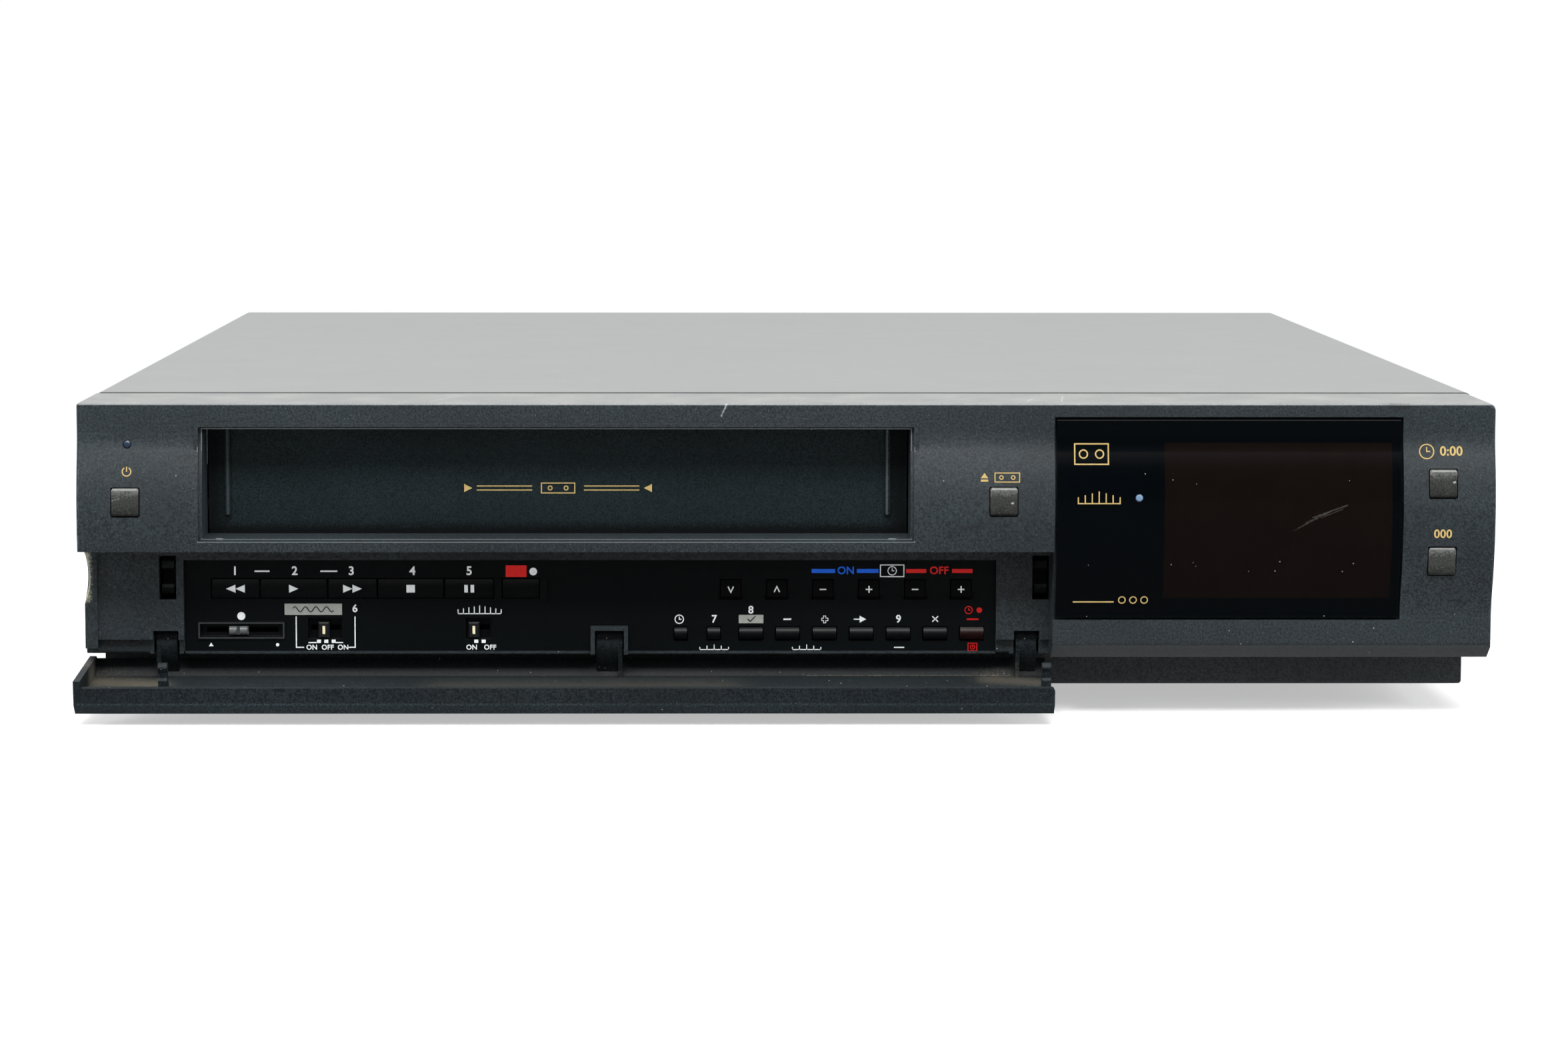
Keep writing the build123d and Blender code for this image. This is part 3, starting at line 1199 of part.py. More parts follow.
for reel_name, reel_x in zip(("supply_reel", "takeup_reel"), REEL_X):
    with BuildPart() as reel:
        with BuildSketch(Plane.XZ.offset(-REEL_Y)):
            with BuildLine():
                Polyline(
                    (reel_x + REEL_PIN + RUNNING, DECK_TOP + 0.6),
                    (reel_x + 21.0, DECK_TOP + 0.6),
                    (reel_x + 21.0, DECK_TOP + 4.0),
                    (reel_x + 12.0, DECK_TOP + 4.0),
                    (reel_x + 12.0, DECK_TOP + 6.0),
                    (reel_x + 4.4, DECK_TOP + 6.0),
                    (reel_x + 4.4, DECK_TOP + 14.0),
                    (reel_x + 2.6, DECK_TOP + 17.0),
                    (reel_x, DECK_TOP + 17.0),
                    (reel_x, DECK_TOP + 13.0),
                    (reel_x + REEL_PIN + RUNNING, DECK_TOP + 13.0),
                    (reel_x + REEL_PIN + RUNNING, DECK_TOP + 0.6),
                )
            make_face()
        revolve(axis=Axis((reel_x, REEL_Y, 0), (0, 0, 1)))
        # Three splines that catch the teeth of the cassette's hub
        with Locations((reel_x, REEL_Y, DECK_TOP + 10.0)):
            with PolarLocations(4.6, 3):
                Box(2.6, 1.2, 8.0)
    save(reel.part, reel_name)

drum_plane = Plane(
    origin=(DRUM_X, DRUM_Y, DECK_TOP),
    x_dir=(1, 0, 0),
    z_dir=(0, sin(radians(DRUM_TILT)), cos(radians(DRUM_TILT))),
)
DRUM_SPLIT = 24.0
DRUM_SHAFT = 3.0
with BuildPart() as lower_drum:
    with BuildSketch(drum_plane.offset(6.0)):
        Circle(DRUM_RADIUS)
        Circle(DRUM_SHAFT + 1.0, mode=Mode.SUBTRACT)
    extrude(amount=DRUM_SPLIT - 6.0)
    # Shaft that the upper half turns on
    with BuildSketch(drum_plane.offset(6.0)):
        Circle(DRUM_SHAFT)
    extrude(amount=DRUM_SPLIT + 8.0)
    with BuildSketch(drum_plane.offset(6.0)):
        Circle(DRUM_SHAFT + 1.2)
    extrude(amount=4.0)
    # Upright foot, cut level with the deck
    with BuildSketch(Plane.XY.offset(DECK_TOP)):
        with Locations((DRUM_X, DRUM_Y)):
            with PolarLocations(24.0, 3, 30):
                Circle(3.6)
    extrude(amount=10.0)
save(lower_drum.part, "lower_drum")

with BuildPart() as upper_drum:
    with BuildSketch(drum_plane.offset(DRUM_SPLIT + 0.4)):
        Circle(DRUM_RADIUS)
        Circle(DRUM_SHAFT + RUNNING, mode=Mode.SUBTRACT)
        # Windows for the four video heads
        with PolarLocations(DRUM_RADIUS - 1.0, 4):
            Rectangle(5.0, 4.0, mode=Mode.SUBTRACT)
    extrude(amount=14.0)
    # Shallow recess round the hub in the top face
    with BuildSketch(drum_plane.offset(DRUM_SPLIT + 12.4)):
        Circle(25.0)
        Circle(9.0, mode=Mode.SUBTRACT)
    extrude(amount=3.0, mode=Mode.SUBTRACT)
save(upper_drum.part, "upper_drum")

FLYWHEEL_Z = (10.4, 16.6)
with BuildPart() as capstan_flywheel:
    rod("z", (CAPSTAN_X, CAPSTAN_Y, FLYWHEEL_Z[0]), CAPSTAN_RADIUS, 42.0)
    with BuildSketch(Plane.XZ.offset(-CAPSTAN_Y)):
        with BuildLine():
            Polyline(
                (CAPSTAN_X, FLYWHEEL_Z[0]),
                (CAPSTAN_X + 26.0, FLYWHEEL_Z[0]),
                (CAPSTAN_X + 26.0, FLYWHEEL_Z[1]),
                (CAPSTAN_X + 21.0, FLYWHEEL_Z[1]),
                (CAPSTAN_X + 19.0, FLYWHEEL_Z[1] - 3.0),
                (CAPSTAN_X + 7.0, FLYWHEEL_Z[1] - 3.0),
                (CAPSTAN_X + 5.0, FLYWHEEL_Z[1]),
                (CAPSTAN_X, FLYWHEEL_Z[1]),
                (CAPSTAN_X, FLYWHEEL_Z[0]),
            )
        make_face()
    revolve(axis=Axis((CAPSTAN_X, CAPSTAN_Y, 0), (0, 0, 1)))
save(capstan_flywheel.part, "capstan_flywheel")

ROLLER = (PINCH_X - 15.9, PINCH_Y - 24.3)
with BuildPart() as pinch_arm:
    # Lever between the pivot tube and the roller's shaft, above the capstan's bearing
    with BuildSketch(Plane.XY.offset(DECK_TOP + 3.5)):
        with Locations((PINCH_X, PINCH_Y)):
            Circle(5.0)
        with Locations(ROLLER):
            Circle(4.0)
        make_hull()
        with Locations((PINCH_X, PINCH_Y)):
            Circle(REEL_PIN + RUNNING, mode=Mode.SUBTRACT)
    extrude(amount=2.0)
    with BuildSketch(Plane.XY.offset(DECK_TOP + 1.0)):
        with Locations((PINCH_X, PINCH_Y)):
            Circle(3.4)
            Circle(REEL_PIN + RUNNING, mode=Mode.SUBTRACT)
    extrude(amount=16.0)
    # Shaft and rubber roller
    rod("z", (ROLLER[0], ROLLER[1], DECK_TOP + 3.5), 1.5, 22.5)
    rod("z", (ROLLER[0], ROLLER[1], DECK_TOP + 6.5), 6.0, 17.5)
save(pinch_arm.part, "pinch_arm")

# ---------------------------------------------------------------- cassette loading
GUIDE_PIN = 2.4
CARRIAGE_X = around(SLOT_MIDDLE, CASSETTE[0] + 4.0)
CARRIAGE_SPAN = (CARRIAGE_Y, CARRIAGE_Y + CASSETTE[1] + 1.0)
CARRIAGE_TOP = CARRIAGE_FLOOR + CARRIAGE_HEIGHT
with BuildPart() as cassette_carriage:
    # Sheet-metal basket: floor rails, sides and top straps
    block(CARRIAGE_X, CARRIAGE_SPAN, (CARRIAGE_FLOOR - 1.0, CARRIAGE_TOP + 1.0))
    block(
        (CARRIAGE_X[0] + 1, CARRIAGE_X[1] - 1),
        (CARRIAGE_SPAN[0] - 1, CARRIAGE_SPAN[1] + 1),
        (CARRIAGE_FLOOR, CARRIAGE_TOP),
        Mode.SUBTRACT,
    )
    # The middle of the floor and the top are open round the reels
    block(
        (CARRIAGE_X[0] + 24, CARRIAGE_X[1] - 24),
        (CARRIAGE_SPAN[0] + 12, CARRIAGE_SPAN[1] + 2),
        (CARRIAGE_FLOOR - 3, CARRIAGE_FLOOR + 1),
        Mode.SUBTRACT,
    )
    block(
        (CARRIAGE_X[0] + 18, CARRIAGE_X[1] - 18),
        (CARRIAGE_SPAN[0] + 14, CARRIAGE_SPAN[1] - 18),
        (CARRIAGE_TOP - 1, CARRIAGE_TOP + 3),
        Mode.SUBTRACT,
    )
    # Guide pins that ride in the slots of the side plates
    for pin_y in (CARRIAGE_SPAN[0] + 16, CARRIAGE_SPAN[1] - 16):
        rod("x", (CARRIAGE_X[0] - 3.6, pin_y, CARRIAGE_FLOOR + 12), GUIDE_PIN, 4.0)
        rod("x", (CARRIAGE_X[1] - 0.4, pin_y, CARRIAGE_FLOOR + 12), GUIDE_PIN, 4.0)
save(cassette_carriage.part, "cassette_carriage")

GUIDE_Y = (FRONT + 42.0, FRONT + 208.0)
with BuildPart() as carriage_guides:
    for side in (-1, 1):
        plate = around(SLOT_MIDDLE + side * (CARRIAGE_X[1] - SLOT_MIDDLE + 2.0), 1.2)
        block(plate, GUIDE_Y, (DECK_TOP, CARRIAGE_TOP + 3))
        # Slots: back along the machine, then down to the deck
        for pin_y in (CARRIAGE_SPAN[0] + 16, CARRIAGE_SPAN[1] - 16):
            slot_y = (pin_y - GUIDE_PIN - 0.3, pin_y + CARRIAGE_TRAVEL + GUIDE_PIN + 0.3)
            slot_z = around(CARRIAGE_FLOOR + 12, 2 * (GUIDE_PIN + 0.3))
            block((plate[0] - 1, plate[1] + 1), slot_y, slot_z, Mode.SUBTRACT)
            block(
                (plate[0] - 1, plate[1] + 1),
                (slot_y[1] - 2 * (GUIDE_PIN + 0.3), slot_y[1]),
                (CARRIAGE_FLOOR - 15, slot_z[1]),
                Mode.SUBTRACT,
            )
        # Feet turned in over the deck
        foot = sorted((plate[0] if side < 0 else plate[1], SLOT_MIDDLE + side * 91.0))
        block(foot, (GUIDE_Y[0] + 4, GUIDE_Y[0] + 30), (DECK_TOP, DECK_TOP + 1.2))
        block(foot, (GUIDE_Y[1] - 30, GUIDE_Y[1] - 4), (DECK_TOP, DECK_TOP + 1.2))
    # Strap across the back joins the two plates
    block(
        around(SLOT_MIDDLE, 2 * (CARRIAGE_X[1] - SLOT_MIDDLE + 2.0)),
        (GUIDE_Y[1] - 14, GUIDE_Y[1] - 2),
        (CARRIAGE_TOP + 1.8, CARRIAGE_TOP + 3),
    )
save(carriage_guides.part, "carriage_guides")

with BuildPart() as tape_heads:
    # Full-width erase head on the supply side, sound and control head on the other
    for head_x, head_y, head_width in (
        (DRUM_X - 62.0, DRUM_Y - 22.0, 14.0),
        (DRUM_X + 46.0, DRUM_Y - 2.0, 12.0),
    ):
        block(around(head_x, head_width), around(head_y, 11.0), (DECK_TOP + 12, DECK_TOP + 28))
        block(around(head_x, head_width + 5), around(head_y, 14.0), (DECK_TOP + 9, DECK_TOP + 12.2))
        block(around(head_x, 5.0), around(head_y, 5.0), (DECK_TOP, DECK_TOP + 9.4))
    chamfer(tape_heads.edges().filter_by(Axis.Z).group_by(SortBy.LENGTH)[-1], 1.2)
save(tape_heads.part, "tape_heads")

with BuildPart() as loading_motor:
    rod("z", (LOADING_MOTOR[0], LOADING_MOTOR[1], DECK_TOP), 12.5, 30.0)
    chamfer(loading_motor.edges().sort_by(Axis.Z)[-1], 1.2)
    # Gear case beside the motor, with its two fixing bosses
    block(
        (LOADING_MOTOR[0] + 8, LOADING_MOTOR[0] + 30),
        around(LOADING_MOTOR[1] + 9, 18.0),
        (DECK_TOP, DECK_TOP + 12),
    )
    for boss_y in (LOADING_MOTOR[1] + 3, LOADING_MOTOR[1] + 15):
        rod("z", (LOADING_MOTOR[0] + 26, boss_y, DECK_TOP + 11.8), 2.4, 2.0)
save(loading_motor.part, "loading_motor")
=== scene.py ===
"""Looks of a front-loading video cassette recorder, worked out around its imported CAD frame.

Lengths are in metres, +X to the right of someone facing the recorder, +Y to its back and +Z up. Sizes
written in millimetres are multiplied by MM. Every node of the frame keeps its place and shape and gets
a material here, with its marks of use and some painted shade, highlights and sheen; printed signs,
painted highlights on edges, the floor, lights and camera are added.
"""

import math

import bpy
import numpy as np
from bpy.props import FloatProperty, FloatVectorProperty, PointerProperty
from mathutils import Euler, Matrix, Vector


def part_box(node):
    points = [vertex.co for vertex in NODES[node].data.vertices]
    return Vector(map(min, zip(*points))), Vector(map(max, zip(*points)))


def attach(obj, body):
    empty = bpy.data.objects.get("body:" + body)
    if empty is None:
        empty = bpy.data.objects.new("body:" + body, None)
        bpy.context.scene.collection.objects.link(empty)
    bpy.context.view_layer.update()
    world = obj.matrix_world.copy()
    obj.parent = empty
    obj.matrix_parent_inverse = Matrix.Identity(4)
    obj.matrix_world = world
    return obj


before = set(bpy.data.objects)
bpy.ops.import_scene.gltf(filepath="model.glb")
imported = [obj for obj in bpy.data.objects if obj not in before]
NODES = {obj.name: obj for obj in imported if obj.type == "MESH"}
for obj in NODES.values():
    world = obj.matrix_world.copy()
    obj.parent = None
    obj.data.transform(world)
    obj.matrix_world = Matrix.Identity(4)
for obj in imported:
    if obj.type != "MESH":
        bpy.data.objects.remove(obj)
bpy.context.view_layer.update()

bl_info = {
    "name": "Video cassette recorder",
    "version": (1, 0, 0),
    "blender": (4, 5, 0),
    "location": "View3D > Sidebar > Recorder",
    "description": "Finishes, printed signs and studio of a video cassette recorder",
    "category": "Object",
}

MM = 0.001

# The fascia's face: an arc of radius FACE_CREST that stands out furthest at FACE_MID, and blends by an
# arc of radius FACE_BLEND into an upright band above it and another below
FASCIA_LOW, FASCIA_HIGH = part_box("front_panel")
FACE_BULGE = 3.6 * MM
FACE_MID = 54.5 * MM
FACE_CREST = 84.0 * MM
FACE_BLEND = 24.0 * MM
FACE_TURN_UP = math.radians(12.5)
FACE_TURN_DOWN = math.radians(14.0)
FACE_EDGE = FASCIA_LOW.y + FACE_BULGE
PANEL_FACE = FACE_EDGE + 10.4 * MM
FLAP_FACE = FACE_EDGE + 8.5 * MM
REAR_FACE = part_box("rear_panel")[1].y


def colour(red, green, blue):
    """Linear colour, with alpha, of a display colour given as 0 to 255."""
    shares = np.array((red, green, blue)) / 255
    linear = np.where(shares <= 0.04045, shares / 12.92, ((shares + 0.055) / 1.055) ** 2.4)
    return (*[float(v) for v in linear], 1.0)


def tint(name, description, shade):
    """Colour setting with a display colour as its default."""
    return FloatVectorProperty(
        name=name, description=description, default=colour(*shade), subtype="COLOR", size=4, min=0, max=1
    )


def number(name, description, default, **more):
    """Number setting; more holds its limits or its unit."""
    return FloatProperty(name=name, description=description, default=default, **more)


def degrees(name, description, default):
    """Setting that is an angle, with its default in degrees."""
    return number(name, description, math.radians(default), unit="ROTATION")


# ---------------------------------------------------------------- settings
class FinishSettings(bpy.types.PropertyGroup):
    """Colours of the recorder's surfaces."""

    fascia: tint("Fascia", "Charcoal plastic of the fascia and door", (35, 44, 48))
    cover: tint("Cover", "Textured paint of the steel cover", (84, 87, 87))
    chassis: tint("Chassis", "Black plastic of the chassis tray", (43, 49, 52))
    panel: tint("Control panel", "Black plastic behind the door", (4, 9, 12))
    flap: tint("Flap", "Dark plastic of the cassette flap", (25, 36, 39))
    window: tint("Window border", "Printed border of the display window", (1, 3, 5))
    smoke: tint("Window tint", "Brown tint over the display", (9, 5, 4))
    button: tint("Buttons", "Warm grey caps of the push buttons", (56, 58, 55))
    key: tint("Keys", "Black caps of the keys", (10, 12, 14))
    knob: tint("Slide knobs", "Grey plastic of the slide knobs", (90, 94, 96))
    lamp: tint("Lamps", "Unlit lens of the lamps", (98, 125, 155))


class PrintSettings(bpy.types.PropertyGroup):
    """Colours and thickness of the printed signs."""

    gold: tint("Gold", "Print on the fascia, flap and window", (172, 149, 96))
    cream: tint("Cream", "Lines on the switch knobs", (236, 228, 190))
    # The faint ink draws a painted highlight on the rim round the slider's slot
    faint: tint("Faint", "Worn rim of the slider's slot", (58, 62, 64))
    # The edge ink draws painted highlights on the edges round the cassette slot
    edge: tint("Edge", "Fine worn edges round the cassette slot", (98, 104, 106))
    grey: tint("Grey", "Fields under the dark signs", (150, 152, 147))
    white: tint("White", "Print on the control panel and keys", (224, 229, 229))
    blue: tint("Blue", "Signs over the first pair of timer keys", (0, 92, 214))
    red: tint("Red", "Signs over the second pair of timer keys", (206, 14, 8))
    thickness: number("Thickness", "Thickness of the ink", 0.04 * MM, unit="LENGTH")


class StageSettings(bpy.types.PropertyGroup):
    """Camera, lights and floor."""

    lens: number("Lens", "Focal length in millimetres", 78.416)
    pitch: degrees("Pitch", "How far the camera looks down", 4.856)
    yaw: degrees("Yaw", "How far the camera turns right", 0.421)
    roll: degrees("Roll", "How far the camera leans", 0.058)
    floor_white: number("Floor white", "Own brightness of the pale floor", 0.46, min=0, max=1)
    ambient: number("Ambient", "Light from all round", 0.2, min=0)
    top_light: number("Top light", "Watts of the overhead softbox", 38.0)
    front_light: number("Front light", "Watts of the high front softbox", 23.0)
    side_light: number("Side lights", "Watts of each side softbox", 18.0)


# ---------------------------------------------------------------- shader nodes
class Shader:
    """Adds nodes to one tree and links them, with plain calls."""

    def __init__(self, tree):
        self.tree = tree

    def fill(self, node, inputs):
        """Links the node's inputs to sockets, or sets them to values, by name or number."""
        for key, value in inputs.items():
            if isinstance(value, bpy.types.NodeSocket):
                self.tree.links.new(value, node.inputs[key])
            else:
                node.inputs[key].default_value = value
        return node

    def add(self, kind, inputs=None, **settings):
        """A node of the kind, with its settings and inputs."""
        node = self.tree.nodes.new("ShaderNode" + kind)
        for name, value in settings.items():
            setattr(node, name, value)
        return self.fill(node, inputs or {})

    def maths(self, operation, *values, clamp=False):
        """Number that the operation makes of the values."""
        node = self.add("Math", dict(enumerate(values)), operation=operation, use_clamp=clamp)
        return node.outputs[0]

    def product(self, first, second):
        """First times second."""
        return self.maths("MULTIPLY", first, second)

    def vector(self, operation, *values, output=0):
        """Vector that the operation makes of the values, or its number with output=1."""
        return self.add("VectorMath", dict(enumerate(values)), operation=operation).outputs[output]

    def between(self, value, low, high):
        """0 below low, 1 above high, smooth between; low may be the greater."""
        node = self.add("MapRange", {"Value": value, 1: low, 2: high}, interpolation_type="SMOOTHSTEP")
        return node.outputs[0]

    def mix(self, share, first, second):
        """Colour that goes from first to second as share goes from 0 to 1."""
        node = self.add("Mix", {0: share, 6: first, 7: second}, data_type="RGBA")
        return node.outputs[2]

    def noise(self, vector, scale, detail=2.0, roughness=0.5):
        """Cloudy noise, 0 to 1, with scale swells to the metre."""
        inputs = {"Vector": vector, "Scale": scale, "Detail": detail, "Roughness": roughness}
        return self.add("TexNoise", inputs).outputs["Fac"]

    def parts(self, vector):
        """The x, y and z of a vector."""
        return self.add("SeparateXYZ", {0: vector}).outputs

    def group(self, name, inputs):
        """Outputs of the shared node group of that name, which is built once."""
        if name not in GROUPS:
            GROUPS[name] = GROUP_MAKERS[name]()
        return self.add("Group", inputs, node_tree=GROUPS[name]).outputs


def new_group(name, inputs, outputs):
    """Empty node group with named sockets: (tree, its inputs, a function that sets an output)."""
    tree = bpy.data.node_groups.new(name, "ShaderNodeTree")
    for label, kind, value in inputs:
        made = tree.interface.new_socket(name=label, in_out="INPUT", socket_type="NodeSocket" + kind)
        if value is not None:
            made.default_value = value
    for label, kind in outputs:
        tree.interface.new_socket(name=label, in_out="OUTPUT", socket_type="NodeSocket" + kind)
    entry = tree.nodes.new("NodeGroupInput")
    leave = tree.nodes.new("NodeGroupOutput")
    return tree, entry.outputs, lambda label, value: tree.links.new(value, leave.inputs[label])


def grain_group():
    """Fine moulded or painted texture: the height of its pimples, slow changes of tone, pale specks."""
    tree, given, put = new_group(
        "Fine grain",
        [("Vector", "Vector", None), ("Pimple size", "Float", 0.4 * MM), ("Speck share", "Float", 0.1)],
        [("Height", "Float"), ("Tone", "Float"), ("Specks", "Float")],
    )
    s = Shader(tree)
    fineness = s.maths("DIVIDE", 1.0, given["Pimple size"])
    pimples = s.noise(given["Vector"], fineness, 3.0, 0.65)
    put("Height", pimples)
    blotches = s.noise(given["Vector"], 18.0, 3.0, 0.6)
    streaks = s.noise(s.vector("MULTIPLY", given["Vector"], (9.0, 30.0, 60.0)), 1.0, 3.0)
    put("Tone", s.maths("ADD", s.product(blotches, 0.6), s.product(streaks, 0.4)))
    cells = s.add("TexVoronoi", {"Vector": given["Vector"], "Scale": s.product(fineness, 0.8)})
    near = s.between(cells.outputs["Distance"], 0.28, 0.10)
    chosen = s.add("SeparateColor", {0: cells.outputs["Color"]}).outputs[0]
    put("Specks", s.product(near, s.maths("LESS_THAN", chosen, given["Speck share"])))
    return tree


def dust_group():
    """Loose dust on faces that look up, and a few pale crumbs on every face."""
    tree, given, put = new_group(
        "Dust",
        [("Vector", "Vector", None), ("Film", "Float", 0.2), ("Crumb share", "Float", 0.03)],
        [("Film", "Float"), ("Crumbs", "Float")],
    )
    s = Shader(tree)
    upward = s.between(s.parts(s.add("NewGeometry").outputs["Normal"])[2], 0.3, 0.9)
    patches = s.between(s.noise(given["Vector"], 60.0, 5.0, 0.7), 0.3, 0.8)
    even = s.maths("ADD", 0.6, s.product(patches, 0.4))
    put("Film", s.product(s.product(upward, even), given["Film"]))
    cells = s.add("TexVoronoi", {"Vector": given["Vector"], "Scale": 380.0})
    near = s.between(cells.outputs["Distance"], 0.075, 0.035)
    chosen = s.add("SeparateColor", {0: cells.outputs["Color"]}).outputs[1]
    put("Crumbs", s.product(near, s.maths("LESS_THAN", chosen, given["Crumb share"])))
    return tree


def scuff_group():
    """One straight mark of use: 1 on a line from Start to End, ragged along its sides."""
    tree, given, put = new_group(
        "Scuff",
        [
            ("Vector", "Vector", None),
            ("Start", "Vector", (0, 0, 0)),
            ("End", "Vector", (0, 0, 0)),
            ("Width", "Float", 0.5 * MM),
        ],
        [("Mask", "Float")],
    )
    s = Shader(tree)
    along = s.vector("SUBTRACT", given["End"], given["Start"])
    offset = s.vector("SUBTRACT", given["Vector"], given["Start"])
    length = s.vector("DOT_PRODUCT", along, along, output=1)
    share = s.maths("DIVIDE", s.vector("DOT_PRODUCT", offset, along, output=1), length, clamp=True)
    nearest = s.add("VectorMath", {0: along, "Scale": share}, operation="SCALE").outputs[0]
    distance = s.vector("DISTANCE", offset, nearest, output=1)
    ragged = s.product(s.noise(given["Vector"], 1900.0, 3.0, 0.7), given["Width"])
    edge = s.maths("ADD", distance, ragged)
    put("Mask", s.between(edge, s.product(given["Width"], 1.05), s.product(given["Width"], 0.55)))
    return tree


def brushing_group():
    """Fine parallel lines of rolled or brushed metal, along the axis whose stretch is least."""
    tree, given, put = new_group(
        "Brushing",
        [("Vector", "Vector", None), ("Stretch", "Vector", (60.0, 2500.0, 2500.0))],
        [("Height", "Float"), ("Tone", "Float")],
    )
    s = Shader(tree)
    lines = s.noise(s.vector("MULTIPLY", given["Vector"], given["Stretch"]), 1.0, 4.0, 0.6)
    put("Height", lines)
    spangle = s.add("TexVoronoi", {"Vector": given["Vector"], "Scale": 170.0}).outputs["Color"]
    grey = s.add("RGBToBW", {0: spangle}).outputs[0]
    put("Tone", s.maths("ADD", s.product(lines, 0.6), s.product(grey, 0.4)))
    return tree


GROUPS = {}
GROUP_MAKERS = {
    "grain": grain_group,
    "dust": dust_group,
    "scuff": scuff_group,
    "brushing": brushing_group,
}


class Finish(Shader):
    """Nodes of one new material: its Principled surface, and the Object coordinates in where."""

    def __init__(self, name):
        self.material = bpy.data.materials.new(name)
        self.material.use_nodes = True
        super().__init__(self.material.node_tree)
        self.tree.nodes.clear()
        self.surface = self.add("BsdfPrincipled")
        self.add("OutputMaterial", {"Surface": self.surface.outputs[0]})
        self.where = self.add("TexCoord").outputs["Object"]

    def give(self, **inputs):
        """Links or sets the surface's inputs; underscores stand for spaces."""
        self.fill(self.surface, {name.replace("_", " "): value for name, value in inputs.items()})

    def bump(self, height, depth):
        """Lets height, 0 to 1, stand out of the surface by depth in metres."""
        node = self.add("Bump", {"Height": height, "Distance": depth, "Strength": 1.0})
        self.give(Normal=node.outputs[0])

    def wear_and_painted_light(self, base, marks, kept=None):
        """Base colour with marks, where kept is 1: marks of use, and painted shade and highlights.

        Each mark is (start, end, width, shade, strength), in millimetres, with y from FACE_EDGE.
        """
        for start, end, width, shade, strength in marks:
            inputs = {"Vector": self.where, "Width": width * MM}
            for label, (x, y, z) in (("Start", start), ("End", end)):
                inputs[label] = (x * MM, FACE_EDGE + y * MM, z * MM)
            mask = self.group("scuff", inputs)["Mask"]
            share = self.product(mask, self.product(kept, strength) if kept else strength)
            base = self.mix(share, base, colour(*shade))
        return base


def scaled(shade, factor):
    """Colour with its three channels multiplied by factor."""
    return (*[min(1.0, v * factor) for v in shade[:3]], 1.0)


def moulded(
    name, shade, pimple=0.3, depth=0.01, speck=0.0, rough=0.5, sheen=0.5, film=0.15, crumbs=0.02,
    marks=(), dust_and_sheen_from=0.0, inner=None,
):
    """Moulded plastic with a fine grain, slow tone changes, specks, dust, marks of use, and marks of
    painted shade and highlight.

    The pale coat of dust lies only above the start height passed in; on the fascia's top strip, where it
    is heavy, it is partly dust and partly a painted sheen. inner is a plane's direction, its distance
    along
    it and a factor: on its near side the marks are left out and the colour is multiplied by the factor.
    Sizes are in millimetres.
    """
    s = Finish(name)
    if dust_and_sheen_from:
        height = s.parts(s.where)[2]
        film = s.product(s.between(height, (dust_and_sheen_from - 0.5) * MM, dust_and_sheen_from * MM), film)
    grain = s.group("grain", {"Vector": s.where, "Pimple size": pimple * MM, "Speck share": speck})
    dust = s.group("dust", {"Vector": s.where, "Film": film, "Crumb share": crumbs})
    # Slow changes of tone, dark pits between the pimples, pale specks, then the dust; a heavy coat of it
    # on the fascia's top strip is a painted sheen as well as dust
    base = s.mix(s.between(grain["Tone"], 0.34, 0.66), scaled(shade, 0.8), scaled(shade, 1.2))
    base = s.mix(s.between(grain["Height"], 0.58, 0.4), base, scaled(shade, 0.42))
    base = s.mix(s.product(grain["Specks"], 0.6), base, scaled(shade, 3.6))
    base = s.mix(dust["Film"], base, colour(140, 141, 138))
    base = s.mix(s.product(dust["Crumbs"], 0.8), base, colour(190, 190, 186))
    kept = None
    if inner:
        direction, distance, factor = inner
        side = s.vector("DOT_PRODUCT", s.where, direction, output=1)
        kept = s.between(side, (distance - 0.2) * MM, (distance + 0.2) * MM)
        outer = s.add("VectorMath", {0: base, "Scale": factor}, operation="SCALE").outputs[0]
        base = s.mix(kept, outer, base)
    roughness = s.maths("ADD", rough - 0.06, s.product(grain["Tone"], 0.12))
    s.give(Base_Color=s.wear_and_painted_light(base, marks, kept), Roughness=roughness, Specular_IOR_Level=sheen)
    s.bump(grain["Height"], depth * MM)
    return s.material


def metal(name, shade, stretch=(60.0, 2500.0, 2500.0), rough=0.35, depth=0.004):
    """Plated or machined metal with fine lines and a faint spangle."""
    s = Finish(name)
    lines = s.group("brushing", {"Vector": s.where, "Stretch": stretch})
    base = s.mix(lines["Tone"], scaled(shade, 0.78), scaled(shade, 1.12))
    roughness = s.maths("ADD", rough - 0.1, s.product(lines["Tone"], 0.2))
    s.give(Base_Color=base, Roughness=roughness, Metallic=1.0)
    s.bump(lines["Height"], depth * MM)
    return s.material


def dress(material, *names):
    """Puts the material on these nodes of the frame."""
    for name in names:
        mesh = NODES[name].data
        mesh.materials.clear()
        mesh.materials.append(material)


# ---------------------------------------------------------------- printed signs
def on_fascia(height):
    """y of the fascia's face at each height: the crest's circle, the blend's, then the upright band."""
    turn = np.where(height > FACE_MID, FACE_TURN_UP, FACE_TURN_DOWN)
    rise = np.abs(height - FACE_MID)
    crest_end = FACE_CREST * np.sin(turn)
    crest_centre = FASCIA_LOW.y + FACE_CREST
    crest = crest_centre - np.sqrt(FACE_CREST**2 - np.minimum(rise, crest_end) ** 2)
    short = np.clip((FACE_CREST + FACE_BLEND) * np.sin(turn) - rise, 0, FACE_BLEND)
    blend_centre = crest_centre - (FACE_CREST + FACE_BLEND) * np.cos(turn)
    blend = blend_centre + np.sqrt(FACE_BLEND**2 - short**2)
    return np.where(rise <= crest_end, crest, blend)


